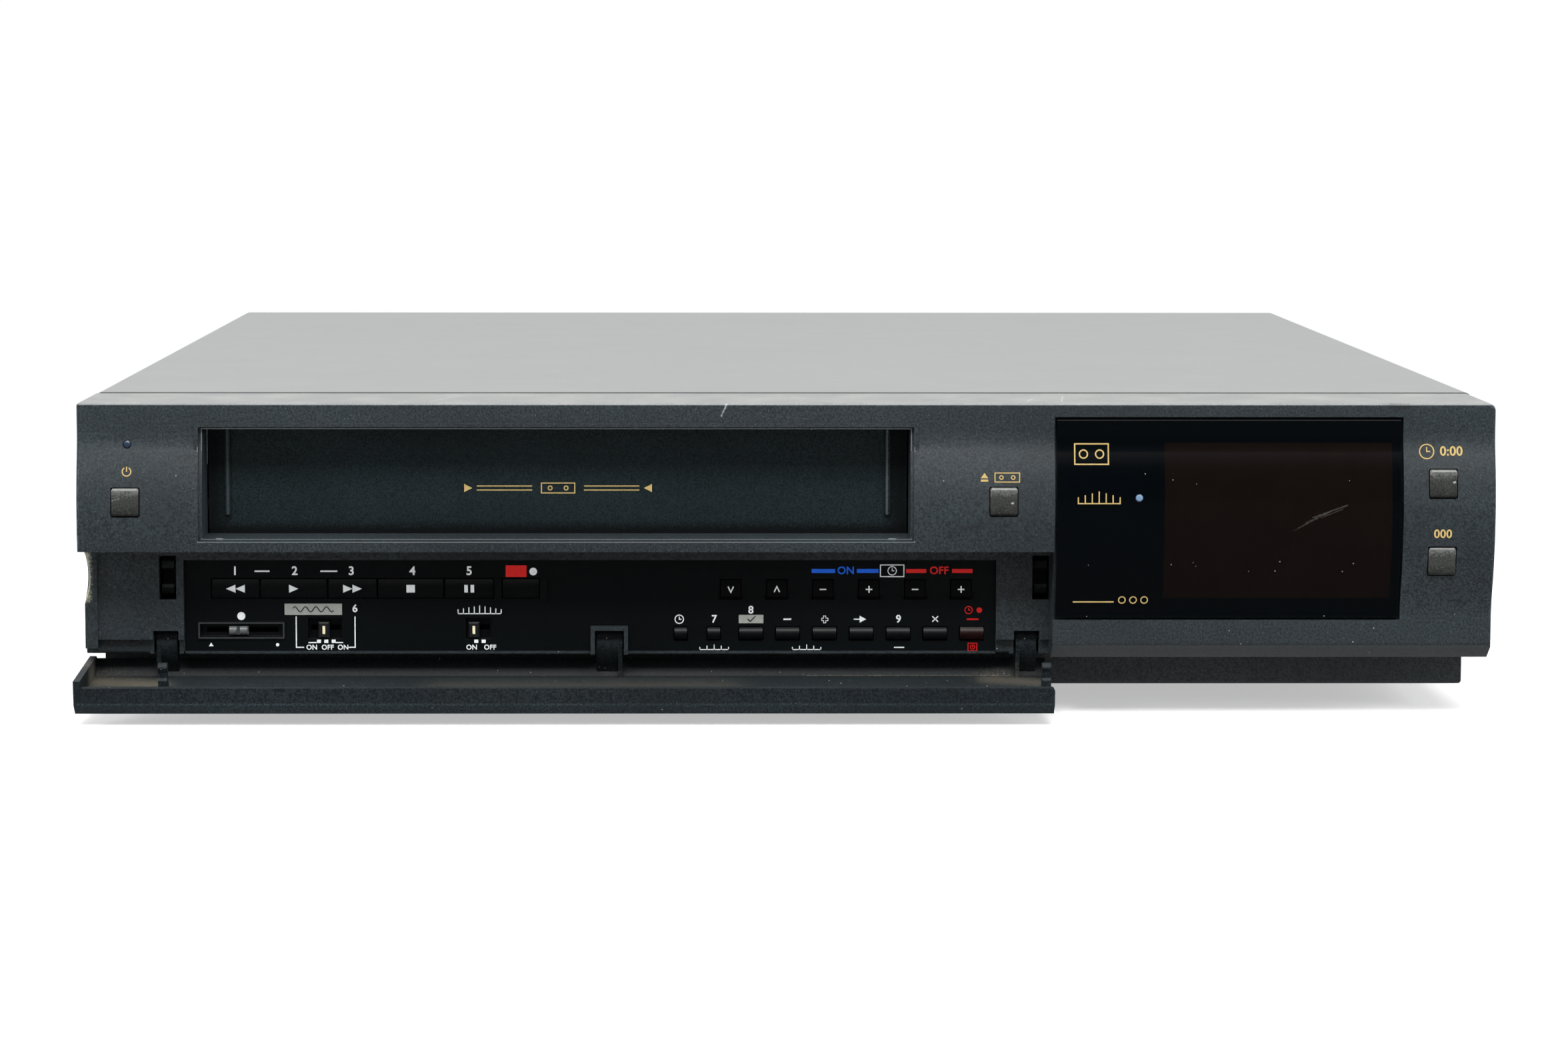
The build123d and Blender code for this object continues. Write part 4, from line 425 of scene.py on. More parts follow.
def on_arc(*corners):
    """Surface function of a hollow or bowed cap: y on the circle through three points (y, height)."""
    (y0, z0), (y1, z1), (y2, z2) = [(y * MM, z * MM) for y, z in corners]
    sides = np.array([(y1 - y0, z1 - z0), (y2 - y0, z2 - z0)]) * 2
    sums = np.array([y1**2 - y0**2 + z1**2 - z0**2, y2**2 - y0**2 + z2**2 - z0**2])
    centre_y, centre_z = np.linalg.solve(sides, sums)
    radius = math.hypot(y0 - centre_y, z0 - centre_z)
    return lambda height: centre_y - np.sqrt(radius**2 - (height - centre_z) ** 2)


def flat_at(y):
    """Surface function of an upright plane at y."""
    return lambda height: np.full_like(height, y)


def sloped(foot, head):
    """Surface function of a leaning plane through two points (y, height): straight between them."""
    return lambda height: np.interp(height, (foot[1], head[1]), (foot[0], head[0]))


def middle(name, axis=0):
    """Middle of a node of the frame along one axis, in millimetres."""
    low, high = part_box(name)
    return (low[axis] + high[axis]) / 2 / MM


def unit(vectors):
    """Each vector over its length."""
    return vectors / np.linalg.norm(vectors, axis=1, keepdims=True)


def quads(*corners):
    """Four-sided faces from four arrays of point numbers."""
    return [tuple(face) for face in np.column_stack(corners).tolist()]


def rows(heights, left, right):
    """Filled shape of level rows: at each height it reaches from its left edge to its right edge."""
    count = len(heights)
    points = np.column_stack((np.concatenate((left, right)), np.tile(heights, 2)))
    low = np.arange(count - 1)
    return points, quads(low, low + count, low + count + 1, low + 1)


def bar(x0, z0, x1, z1, count=2):
    """Filled rectangle between two corners, in millimetres."""
    heights = np.linspace(z0, z1, count)
    return rows(heights, np.full(count, x0, float), np.full(count, x1, float))


def polygon(*points):
    """Filled outline through the points."""
    return np.array(points, float), [tuple(range(len(points)))]


def circle(x, z, radius, count, start=0, end=360, whole=True):
    """Points of a circle at equal angles from start to end, in degrees; a whole one has no end point."""
    angle = np.linspace(math.radians(start), math.radians(end), count, endpoint=not whole)
    return np.column_stack((x + radius * np.cos(angle), z + radius * np.sin(angle)))


def disc(x, z, radius, count=28):
    """Filled circle."""
    return circle(x, z, radius, count), [tuple(range(count))]


def stroke(points, width, closed=False):
    """Band of even width along a path: each point is moved both ways along the mitre of its two sides."""
    path = np.array(points, float)
    count = len(path)
    before = np.roll(path, 1, axis=0) if closed else np.vstack((2 * path[0] - path[1], path[:-1]))
    after = np.roll(path, -1, axis=0) if closed else np.vstack((path[1:], 2 * path[-1] - path[-2]))
    left_in, left_out = [unit(way[:, ::-1] * (-1, 1)) for way in (path - before, after - path)]
    mitre = unit(left_in + left_out)
    reach = width / 2 / np.maximum(0.3, (mitre * left_in).sum(axis=1, keepdims=True))
    corners = np.vstack((path - mitre * reach, path + mitre * reach))
    first = np.arange(count if closed else count - 1)
    second = (first + 1) % count
    return corners, quads(first, second, second + count, first + count)


def arc(x, z, radius, start, end, width, count=24):
    """Band along part of a circle, between two angles in degrees."""
    return stroke(circle(x, z, radius, count, start, end, whole=False), width)


def ring(x, z, radius, width, count=32):
    """Band along a whole circle."""
    return stroke(circle(x, z, radius, count), width, closed=True)


def frame_box(x0, z0, x1, z1, width):
    """Outline of a rectangle."""
    return stroke([(x0, z0), (x1, z0), (x1, z1), (x0, z1)], width, closed=True)


def arrow_head(x, z, length, height, count=11):
    """Triangle with its base at x and its tip length to the right, or to the left if it is negative."""
    place = np.linspace(-1, 1, count)
    reach = length * np.maximum(0.02, 1 - np.abs(place))
    edges = np.sort(np.stack((np.full(count, x, float), x + reach)), axis=0)
    return rows(z + place * height / 2, *edges)


def numerals(text, x, z, height):
    """Digits, or ON or OFF, centred on a point: the built-in font, filled and read back flat."""
    curve = bpy.data.curves.new("numerals", "FONT")
    curve.body = text
    curve.align_x = "CENTER"
    curve.align_y = "CENTER"
    size_over_digit, boldness = 1.38, 0.03
    curve.size = height * size_over_digit
    curve.space_character = 1.04
    curve.offset = height * boldness
    holder = bpy.data.objects.new("numerals", curve)
    mesh = bpy.data.meshes.new_from_object(holder)
    points = np.zeros(len(mesh.vertices) * 3)
    mesh.vertices.foreach_get("co", points)
    points = points.reshape(-1, 3)[:, :2] + (x, z)
    faces = [tuple(face.vertices) for face in mesh.polygons]
    bpy.data.objects.remove(holder)
    bpy.data.curves.remove(curve)
    bpy.data.meshes.remove(mesh)
    return points, faces


def clock_sign(x, z, radius, width):
    """Dial ring with its two hands."""
    hands = stroke([(x, z + radius * 0.62), (x, z), (x + radius * 0.5, z)], width)
    return [ring(x, z, radius, width), hands]


def power_sign(x, z, radius, width):
    """Broken ring with an upright bar in the gap."""
    return [arc(x, z, radius, 120, 420, width), bar(x - width / 2, z, x + width / 2, z + radius * 1.15)]


def cassette_sign(x, z, length, height, width):
    """Outline of a cassette with its two hubs."""
    box = frame_box(x - length / 2, z - height / 2, x + length / 2, z + height / 2, width)
    hub = height * 0.2
    return [box, ring(x - length * 0.24, z, hub, width, 18), ring(x + length * 0.24, z, hub, width, 18)]


def scale_sign(x, z, length, height, width, ticks=7):
    """Row of ticks over a base line, the middle one tallest."""
    shapes = [bar(x - length / 2, z - height / 2, x + length / 2, z - height / 2 + width)]
    for place in np.linspace(-1, 1, ticks):
        top = height * (1.0 - 0.45 * abs(place))
        centre = x + place * (length - width) / 2
        shapes.append(bar(centre - width / 2, z - height / 2, centre + width / 2, z - height / 2 + top))
    return shapes


def wave_sign(x, z, length, height, pace, width, count):
    """Band along a sine of this height, whose angle grows by pace to the millimetre."""
    place = np.linspace(-length / 2, length / 2, count)
    return stroke(np.column_stack((x + place, z + height * np.sin(place * pace))), width)


def new_piece(name, points, faces, material):
    """Object of the scene with these points, faces and material."""
    mesh = bpy.data.meshes.new(name)
    mesh.from_pydata(points.tolist(), [], faces)
    mesh.materials.append(material)
    piece = bpy.data.objects.new(name, mesh)
    bpy.context.scene.collection.objects.link(piece)
    return piece


def printed(name, shapes, surface, material, body="housing"):
    """Thin printed piece: its points lie just before the surface at their height, and get a thickness."""
    gap = 0.002 * MM
    starts = np.cumsum([0] + [len(points) for points, _ in shapes])
    flat = np.vstack([points for points, _ in shapes]) * MM
    faces = [tuple(int(i + n) for i in face) for (_, part), n in zip(shapes, starts) for face in part]
    height = flat[:, 1]
    points = np.column_stack((flat[:, 0], surface(height) - gap, height))
    piece = new_piece(name, points, faces, material)
    layer = piece.modifiers.new("ink", "SOLIDIFY")
    layer.thickness = bpy.context.scene.recorder_print.thickness
    layer.offset = 1.0
    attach(piece, body)


INKS = {}


def ink(name):
    """Printing ink of one colour, slightly uneven."""
    if name not in INKS:
        shade = getattr(bpy.context.scene.recorder_print, name)
        s = Finish(name + "_ink")
        wear = s.between(s.noise(s.where, 1500.0, 3.0, 0.6), 0.3, 0.7)
        s.give(Base_Color=s.mix(wear, scaled(shade, 0.86), shade), Roughness=0.5, Specular_IOR_Level=0.25)
        INKS[name] = s.material
    return INKS[name]


# ---------------------------------------------------------------- operators
class RecorderOperator:
    """What the operators share: they register an undo step, and can be run again from the panel."""

    bl_options = {"REGISTER", "UNDO"}


class RECORDER_OT_fascia(RecorderOperator, bpy.types.Operator):
    """Charcoal plastic of the fascia with its marks of use, painted shade, glints and sheen, and painted
    highlights on the edges round the cassette slot
    """

    bl_idname = "recorder.fascia"
    bl_label = "Fascia"

    def execute(self, context):
        top = FASCIA_HIGH.z / MM
        # pale is for scratches of use and for the painted glints on the slot's sill; dark is for a gouge
        pale, dark = (150, 158, 160), (22, 26, 28)
        marks = (
            ((-17.6, -1.2, 82.4), (-15.9, -1.0, 86.2), 0.7, pale, 0.6),
            ((161.8, -1.0, top - 0.6), (166.2, -0.8, top - 0.9), 2.6, dark, 0.9),
            ((-96.0, 4.0, top), (-89.0, 20.0, top), 0.6, pale, 0.6),
            ((38.0, 3.0, top), (52.0, 16.0, top), 0.5, pale, 0.5),
            ((64.5, 4.0, top), (67.0, 12.0, top), 0.8, pale, 0.6),
            ((74.0, 4.0, top), (76.0, 20.0, top), 0.5, pale, 0.5),
            ((44.0, -3.5, 51.0), (58.5, -3.0, 56.0), 3.0, (20, 25, 27), 0.4),
            ((-189.6, 8.5, 32.0), (-189.6, 8.5, 43.5), 3.6, (158, 158, 136), 0.75),
            ((-190.0, 0.0, 49.0), (-190.0, 0.0, 78.0), 0.5, (96, 100, 100), 0.5),
            # Painted shade: a darker band along the foot of the fascia's right part, and a dark line in
            # the crease above it
            ((66.0, 1.8, 18.4), (192.0, 1.8, 18.4), 8.0, (12, 15, 17), 0.42),
            ((66.0, -0.4, 20.4), (192.0, -0.4, 20.4), 1.1, (12, 15, 17), 0.4),
            # Painted glints: small pale spots on the slot's sill below the flap's runners
            ((-152.6, -2.4, 49.4), (-151.2, -2.4, 49.4), 0.9, pale, 0.8),
            ((27.4, -2.4, 49.4), (29.0, -2.4, 49.4), 0.9, pale, 0.8),
        )
        shade = context.scene.recorder_finish.fascia
        # The heavy pale coat on the top strip is partly dust and partly a painted sheen
        plastic = moulded(
            "fascia_charcoal", shade, pimple=0.58, depth=0.03, speck=0.3, rough=0.42, sheen=0.9,
            film=0.62, crumbs=0.12, marks=marks, dust_and_sheen_from=top - 0.3,
        )
        dress(plastic, "front_panel")
        # Painted highlights: fine pale lines on the outer corner of the slot's frame, and on the inner
        # corner, set back
        outer = [frame_box(-157.7, 48.6, 34.2, 79.55, 0.2)]
        inner = [frame_box(-156.75, 49.25, 33.35, 78.85, 0.2)]
        set_back = 0.9 * MM
        printed("slot_outer_edge", outer, on_fascia, ink("edge"))
        printed("slot_inner_edge", inner, lambda z: on_fascia(z) + set_back, ink("edge"))
        return {"FINISHED"}


class RECORDER_OT_door(RecorderOperator, bpy.types.Operator):
    """Control door, dusty inside, with painted shade on its inside and a painted shadow on its slope, and
    its catches
    """

    bl_idname = "recorder.door"
    bl_label = "Control door"

    def execute(self, context):
        # The fascia colour darkened, as painted shade on the door's inside
        shade = scaled(context.scene.recorder_finish.fascia, 0.62)
        slope, crease = 14.3, 12.9
        # dust is the dust's colour; dark is the colour of the painted shadow across the back slope of the
        # tray
        dust, dark = (126, 118, 102), (6, 8, 9)
        marks = (
            # Painted shadow: a dark band across the back slope of the tray
            ((-186.0, slope, 11.6), (69.0, slope, 11.6), 10.5, dark, 0.75),
            ((6.0, crease, 9.5), (62.0, crease, 9.5), 0.7, dust, 0.55),
            ((-160.0, crease, 9.5), (-20.0, crease, 9.5), 0.5, dust, 0.3),
            ((-190.0, crease - 6.0, 9.2), (-172.0, crease - 9.0, 9.4), 15.0, dust, 0.3),
            ((56.0, crease - 4.0, 9.2), (70.0, crease - 7.0, 9.4), 12.0, dust, 0.24),
            ((-90.0, crease - 13.0, 9.8), (-20.0, crease - 12.0, 9.8), 24.0, dust, 0.1),
        )
        # Plane within the open door's thickness: marks lie above it, on the inside; the outside is paler
        # by the factor, and the inside keeps the darkened colour as painted shade
        inner = ((0.0, -0.087, 1.0), 22.3, 1.9)
        door = moulded(
            "door_charcoal", shade, pimple=0.58, depth=0.03, speck=0.3, rough=0.58, sheen=0.15,
            film=0.03, crumbs=0.3, marks=marks, inner=inner,
        )
        dress(door, "control_door")
        panel = context.scene.recorder_finish.panel
        dress(moulded("catch_black", panel), "door_latches")
        return {"FINISHED"}


class RECORDER_OT_flap(RecorderOperator, bpy.types.Operator):
    """Cassette flap and the gold motif printed on it"""

    bl_idname = "recorder.flap"
    bl_label = "Cassette flap"

    def execute(self, context):
        shade = context.scene.recorder_finish.flap
        face = (FLAP_FACE - FACE_EDGE) / MM
        shadow, edge = (5, 7, 8), (112, 122, 124)
        marks = [((-160.0, face, 49.8), (36.0, face, 49.8), 6.5, shadow, 1.0)]
        for band, runner, glint in ((-155.0, -150.9, 0.16), (31.2, 27.3, 0.3)):
            marks.append(((band, face, 80.0), (band, face, 50.0), 11.0, shadow, 0.75))
            marks.append(((runner, face - 0.9, 79.0), (runner, face - 0.9, 54.8), 0.9, edge, glint))
        plastic = moulded("flap_plastic", shade, depth=0.012, speck=0.06, sheen=0.15, marks=marks)
        dress(plastic, "cassette_flap")
        x, level = -61.7, 61.8
        shapes = cassette_sign(x, level, 9.0, 2.7, 0.28)
        for side in (-1, 1):
            left, right = sorted((x + side * 7.0, x + side * 22.0))
            shapes += [bar(left, z - 0.14, right, z + 0.14) for z in (level - 0.55, level + 0.55)]
            shapes.append(arrow_head(x + side * 25.4, level, -side * 2.2, 2.2))
        printed("flap_sign", shapes, flat_at(FLAP_FACE), ink("gold"), "cassette_flap")
        return {"FINISHED"}


class RECORDER_OT_window(RecorderOperator, bpy.types.Operator):
    """Display window with its printed border, the tube behind it, the lamps and the gold signs"""

    bl_idname = "recorder.window"
    bl_label = "Display window"

    def execute(self, context):
        finish = context.scene.recorder_finish
        s = Finish("window_smoked")
        x, _, z = s.parts(s.where)
        soft = 0.08 * MM
        masks = [
            s.between(value, edge * MM - side * soft, edge * MM + side * soft)
            for value, low, high in ((x, 101.1, 162.1), (z, 33.2, 75.2))
            for edge, side in ((low, 1), (high, -1))
        ]
        inside = masks[0]
        for mask in masks[1:]:
            inside = s.product(inside, mask)
        dust = s.group("dust", {"Vector": s.where, "Film": 0.05, "Crumb share": 0.25})
        veil = s.noise(s.where, 90.0, 4.0, 0.6)
        base = s.mix(inside, finish.window, s.mix(veil, finish.smoke, scaled(finish.smoke, 1.5)))
        bulge = -3.5
        scratches = [
            ((x0, bulge, z0), (x1, bulge, z1), width, (92, 90, 86), strength)
            for x0, z0, x1, z1, width, strength in (
                (137.0, 52.5, 145.5, 56.9, 0.45, 0.2),
                (140.8, 55.3, 150.0, 58.6, 0.55, 0.28),
                (138.8, 53.8, 144.6, 56.5, 0.6, 0.2),
                (143.2, 55.3, 148.8, 57.6, 0.45, 0.2),
                (135.4, 51.6, 139.6, 53.8, 0.35, 0.12),
            )
        ]
        base = s.wear_and_painted_light(base, scratches)
        base = s.mix(s.product(dust["Crumbs"], 0.6), base, colour(160, 165, 170))
        smears = s.noise(s.vector("MULTIPLY", s.where, (60.0, 60.0, 30.0)), 1.0, 4.0, 0.6)
        s.give(Base_Color=base, Roughness=s.maths("ADD", 0.07, s.product(smears, 0.12)))
        dress(s.material, "display_window")

        s = Finish("lamp_lens")
        cloud = s.noise(s.where, 900.0, 2.0)
        s.give(Base_Color=s.mix(cloud, scaled(finish.lamp, 0.7), finish.lamp), Roughness=0.6)
        dress(s.material, "tracking_lamp")
        unlit = moulded("lamp_dark", colour(38, 52, 72), pimple=0.2, depth=0.0, rough=0.3)
        dress(unlit, "power_lamp")

        s = Finish("tube_glass")
        wires = s.add("TexWave", {"Vector": s.where, "Scale": 300.0}, bands_direction="X").outputs[1]
        s.give(Base_Color=s.mix(wires, colour(60, 66, 66), colour(110, 120, 118)), Roughness=0.12)
        dress(s.material, "display_tube")

        shapes = cassette_sign(81.5, 72.2, 9.0, 5.4, 0.35)
        shapes += scale_sign(83.5, 60.6, 11.5, 3.4, 0.3)
        shapes.append(bar(77.0, 31.9, 88.0, 32.25))
        shapes += [ring(90.2 + 3.0 * n, 32.6, 0.9, 0.28, 20) for n in range(3)]
        printed("window_signs", shapes, on_fascia, ink("gold"))
        return {"FINISHED"}


class RECORDER_OT_fascia_signs(RecorderOperator, bpy.types.Operator):
    """Gold signs beside the push buttons"""

    bl_idname = "recorder.fascia_signs"
    bl_label = "Fascia signs"

    def execute(self, context):
        shapes = power_sign(-176.5, 67.5, 1.15, 0.3)
        shapes += [polygon((51.8, 65.8), (53.8, 65.8), (52.8, 67.2)), bar(51.8, 64.9, 53.8, 65.45)]
        shapes += cassette_sign(58.9, 66.0, 6.6, 2.4, 0.26)
        shapes += clock_sign(171.4, 72.9, 1.9, 0.3)
        shapes.append(numerals("0:00", 178.0, 72.9, 2.5))
        shapes.append(numerals("000", 175.8, 50.8, 2.3))
        printed("fascia_signs", shapes, on_fascia, ink("gold"))
        return {"FINISHED"}


class RECORDER_OT_buttons(RecorderOperator, bpy.types.Operator):
    """Warm grey push buttons, with a painted highlight along each cap's top and painted shade at its foot
    """

    bl_idname = "recorder.buttons"
    bl_label = "Push buttons"

    def execute(self, context):
        shade = context.scene.recorder_finish.button
        # Pale colour for specks of wear and for the painted highlight; dark colour for the painted shade
        # at the caps' feet
        wear_and_painted_light, foot = (170, 172, 168), (6, 7, 7)
        names = ("power_button", "eject_button", "counter_button", "reset_button")
        # The marks lie a little inside the caps' fronts
        fronts = {name: (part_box(name)[0].y - FACE_EDGE) / MM + 0.2 for name in names}
        marks = []
        for name, x, z, length, strength in (
            ("counter_button", 178.6, 64.7, 0.2, 1.0),
            ("eject_button", 60.2, 59.1, 0.2, 1.0),
            ("power_button", -181.0, 59.6, 2.6, 0.14),
            ("power_button", -183.2, 59.0, 0.5, 0.7),
            ("power_button", -182.6, 60.4, 0.3, 0.6),
        ):
            y = fronts[name]
            marks.append(((x, y, z), (x + length, y, z + 0.3 * length), 0.75, wear_and_painted_light, strength))
        # Painted highlight: a pale band along each cap's top; painted shade: a dark band at its foot
        for name, y in fronts.items():
            low, high = [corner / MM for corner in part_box(name)]
            marks.append(((low.x, y, high.z - 0.6), (high.x, y, high.z - 0.6), 6.5, wear_and_painted_light, 0.24))
            marks.append(((low.x, y, low.z + 0.4), (high.x, y, low.z + 0.4), 8.5, foot, 0.8))
        dress(moulded("button_grey", shade, speck=0.05, rough=0.3, crumbs=0.3, marks=marks), *names)
        return {"FINISHED"}


class RECORDER_OT_panel(RecorderOperator, bpy.types.Operator):
    """Black control panel with its white, blue and red signs"""

    bl_idname = "recorder.control_panel"
    bl_label = "Control panel"

    def execute(self, context):
        shade = context.scene.recorder_finish.panel
        dress(moulded("panel_black", shade, depth=0.006, rough=0.3, film=0.05), "control_panel")
        surface = flat_at(PANEL_FACE)
        top_row, key_row, foot_row = 38.8, 25.6, 17.9
        number_places = (-149.6, -133.4, -118.0, -101.4, -86.0)
        switch_words = ((-128.9, "ON"), (-124.6, "OFF"), (-120.4, "ON"), (-85.4, "ON"), (-80.4, "OFF"))

        white = [
            bar(-144.3, 38.6, -140.2, 39.0),
            bar(-126.4, 38.6, -121.8, 39.0),
            *[numerals(str(n + 1), x, top_row, 2.4) for n, x in enumerate(number_places)],
            disc(-68.6, 38.7, 1.05),
            disc(-148.0, 26.5, 1.1),
            polygon((-156.9, 18.2), (-155.6, 18.2), (-156.25, 19.2)),
            disc(-138.2, 18.6, 0.45),
            numerals("6", -117.1, 28.5, 2.1),
            stroke([(-131.0, foot_row), (-133.1, foot_row), (-133.1, 26.4)], 0.3),
            stroke([(-119.1, foot_row), (-117.1, foot_row), (-117.1, 26.4)], 0.3),
            bar(-129.8, 19.05, -127.6, 19.35),
            bar(-122.4, 19.05, -120.4, 19.35),
            *[bar(x, 19.1, x + 1.1, 20.0) for x in (-127.5, -125.5, -123.5, -84.7, -82.7)],
            *[numerals(word, x, 17.85, 1.35) for x, word in switch_words],
            *scale_sign(-83.2, 28.2, 12.0, 2.4, 0.26, 9),
            *clock_sign(-28.9, key_row, 1.15, 0.26),
            numerals("7", -19.4, key_row, 2.1),
            numerals("8", -9.4, 28.1, 2.1),
            bar(-0.55, 25.4, 1.55, 25.8),
            stroke(
                [(9.9, 25.2), (10.4, 25.2), (10.4, 24.6), (11.0, 24.6), (11.0, 25.2), (11.6, 25.2)]
                + [(11.6, 25.9), (11.0, 25.9), (11.0, 26.5), (10.4, 26.5), (10.4, 25.9), (9.9, 25.9)],
                0.16,
                closed=True,
            ),
            arrow_head(20.2, key_row, 1.8, 1.9),
            bar(18.6, 25.45, 20.2, 25.75),
            numerals("9", 30.8, key_row, 2.1),
            *[stroke([(40.0, 25.65 - rise), (41.6, 25.65 + rise)], 0.3) for rise in (0.75, -0.75)],
            *[shape for x in (-19.4, 5.8) for shape in scale_sign(x, foot_row, 8.0, 1.5, 0.22, 5)],
            bar(29.6, 17.7, 32.4, 18.0),
            frame_box(25.8, 37.3, 32.2, 40.5, 0.26),
            *clock_sign(29.0, 38.9, 1.15, 0.22),
        ]
        printed("panel_white_signs", white, surface, ink("white"))
        fields = [bar(-136.2, 26.8, -120.6, 29.9), bar(-12.7, 24.5, -6.0, 26.8)]
        printed("panel_grey_fields", fields, surface, ink("grey"))

        # Painted highlight on the rim of the raised frame round the slider's slot
        rim = [frame_box(-159.45, 20.55, -136.45, 24.65, 0.3)]
        raised = 0.4 * MM
        printed("slider_rim", rim, flat_at(PANEL_FACE - raised), ink("faint"))

        low, high = 38.3, 39.4
        blue = [bar(7.1, low, 13.5, high), bar(19.4, low, 25.3, high), numerals("ON", 16.4, 38.9, 2.1)]
        printed("panel_blue_signs", blue, surface, ink("blue"))

        red = [
            bar(32.8, low, 38.3, high),
            bar(45.3, low, 50.9, high),
            numerals("OFF", 41.8, 38.9, 2.1),
            bar(-76.1, 37.2, -70.4, 40.4),
            *clock_sign(49.9, 28.1, 1.0, 0.24),
            disc(52.8, 28.1, 0.75),
            bar(49.4, 25.4, 52.6, 25.8),
            frame_box(49.8, 16.9, 52.2, 19.0, 0.22),
            *clock_sign(51.0, 17.95, 0.62, 0.18),
        ]
        printed("panel_red_signs", red, surface, ink("red"))

        # Dark signs printed over the two grey fields
        over = flat_at(PANEL_FACE - context.scene.recorder_print.thickness)
        dark = [wave_sign(-128.4, 28.35, 11.0, 0.7, 2.2, 0.26, 60)]
        dark.append(stroke([(-10.3, 25.7), (-9.6, 25.0), (-8.2, 26.4)], 0.3))
        black = moulded("black_ink", colour(18, 20, 22), pimple=0.45, depth=0.03, speck=0.1)
        printed("panel_dark_signs", dark, over, black)
        return {"FINISHED"}


class RECORDER_OT_keys(RecorderOperator, bpy.types.Operator):
    """Transport keys, small keys and lower keys, with the signs on their caps"""

    bl_idname = "recorder.keys"
    bl_label = "Keys"

    transport = {
        "rewind_key": ("back", "back"),
        "play_key": ("on",),
        "forward_key": ("on", "on"),
        "stop_key": ("block",),
        "pause_key": ("bars",),
        "record_key": (),
    }
    small = {
        "channel_down_key": "down",
        "channel_up_key": "up",
        "on_minus_key": "minus",
        "on_plus_key": "plus",
        "off_minus_key": "minus",
        "off_plus_key": "plus",
    }
    lower = (
        "clock_key", "preset_key", "program_key", "tracking_minus_key", "tracking_plus_key",
        "next_key", "tuning_key", "clear_key",
    )
    transport_level = 34.1
    small_level = 33.9

    def transport_shapes(self, x, z, marks):
        """Arrow heads side by side, a square, or two bars, about a point."""
        if marks == ("block",):
            return [bar(x - 1.15, z - 1.05, x + 1.15, z + 1.05, 9)]
        if marks == ("bars",):
            return [bar(mid - 0.48, z - 1.05, mid + 0.48, z + 1.05, 9) for mid in (x - 0.85, x + 0.85)]
        step = 2.55
        start = x - step * len(marks) / 2
        shapes = []
        for number, way in enumerate(marks):
            left = start + number * step
            base, length = (left, step) if way == "on" else (left + step, -step)
            shapes.append(arrow_head(base, z, length, 2.2))
        return shapes

    def small_shapes(self, x, z, kind):
        """Hook up or down, minus or plus, about a point."""
        if kind in ("down", "up"):
            dip = -0.75 if kind == "down" else 0.75
            return [stroke([(x - 0.75, z - dip), (x, z + dip), (x + 0.75, z - dip)], 0.32)]
        half, reach = 0.17, 0.9
        shapes = [bar(x - reach, z - half, x + reach, z + half)]
        if kind == "plus":
            shapes += [
                bar(x - half, z + half, x + half, z + reach),
                bar(x - half, z - reach, x + half, z - half),
            ]
        return shapes

    def execute(self, context):
        shade = context.scene.recorder_finish.key
        finish = {"depth": 0.008, "speck": 0.02, "rough": 0.42, "sheen": 0.22, "film": 0.02}
        dress(moulded("key_black", shade, **finish), *self.transport, *self.lower)
        # The small caps lean up towards the light: they take a darker copy of the key colour, as painted
        # shade
        finish.update(rough=0.6, sheen=0.15, film=0.0)
        dress(moulded("key_leaning", scaled(shade, 0.3), **finish), *self.small)
        red = moulded("key_red_black", colour(32, 10, 9), depth=0.008, rough=0.42, sheen=0.22)
        dress(red, "timer_key")
        # The transport caps are hollow, on an arc through their foot, their deepest line and their head
        cap_y = PANEL_FACE / MM - 0.7
        hollow = on_arc((cap_y + 0.7, 31.45), (cap_y, 33.45), (cap_y + 0.3, 36.65))
        for name, marks in self.transport.items():
            if marks:
                shapes = self.transport_shapes(middle(name), self.transport_level, marks)
                printed(name + "_sign", shapes, hollow, ink("white"), name)
        for name, kind in self.small.items():
            # A small cap stands out further at its foot than at its head
            low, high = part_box(name)
            foot = (PANEL_FACE - 1.2 * MM, low.z + 1.7 * MM)
            leaning = sloped(foot, (PANEL_FACE - 0.2 * MM, high.z - 0.9 * MM))
            shapes = self.small_shapes(middle(name), self.small_level, kind)
            printed(name + "_sign", shapes, leaning, ink("white"), name)
        return {"FINISHED"}


class RECORDER_OT_slides(RecorderOperator, bpy.types.Operator):
    """Picture slider and the two slide switches, each with a pale line on its knob"""

    bl_idname = "recorder.slides"
    bl_label = "Slide controls"

    def execute(self, context):
        shade = context.scene.recorder_finish.knob
        dress(moulded("knob_grey", shade, pimple=0.25, rough=0.35), "picture_slider")
        dark = moulded("switch_black", colour(24, 26, 28), pimple=0.25, rough=0.4)
        dress(dark, "filter_switch", "tracking_switch")
        for name in ("filter_switch", "tracking_switch"):
            x, z = middle(name), middle(name, 2)
            line = [bar(x - 0.35, z - 1.0, x + 0.35, z + 1.2)]
            printed(name + "_line", line, flat_at(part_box(name)[0].y), ink("cream"), name)
        return {"FINISHED"}


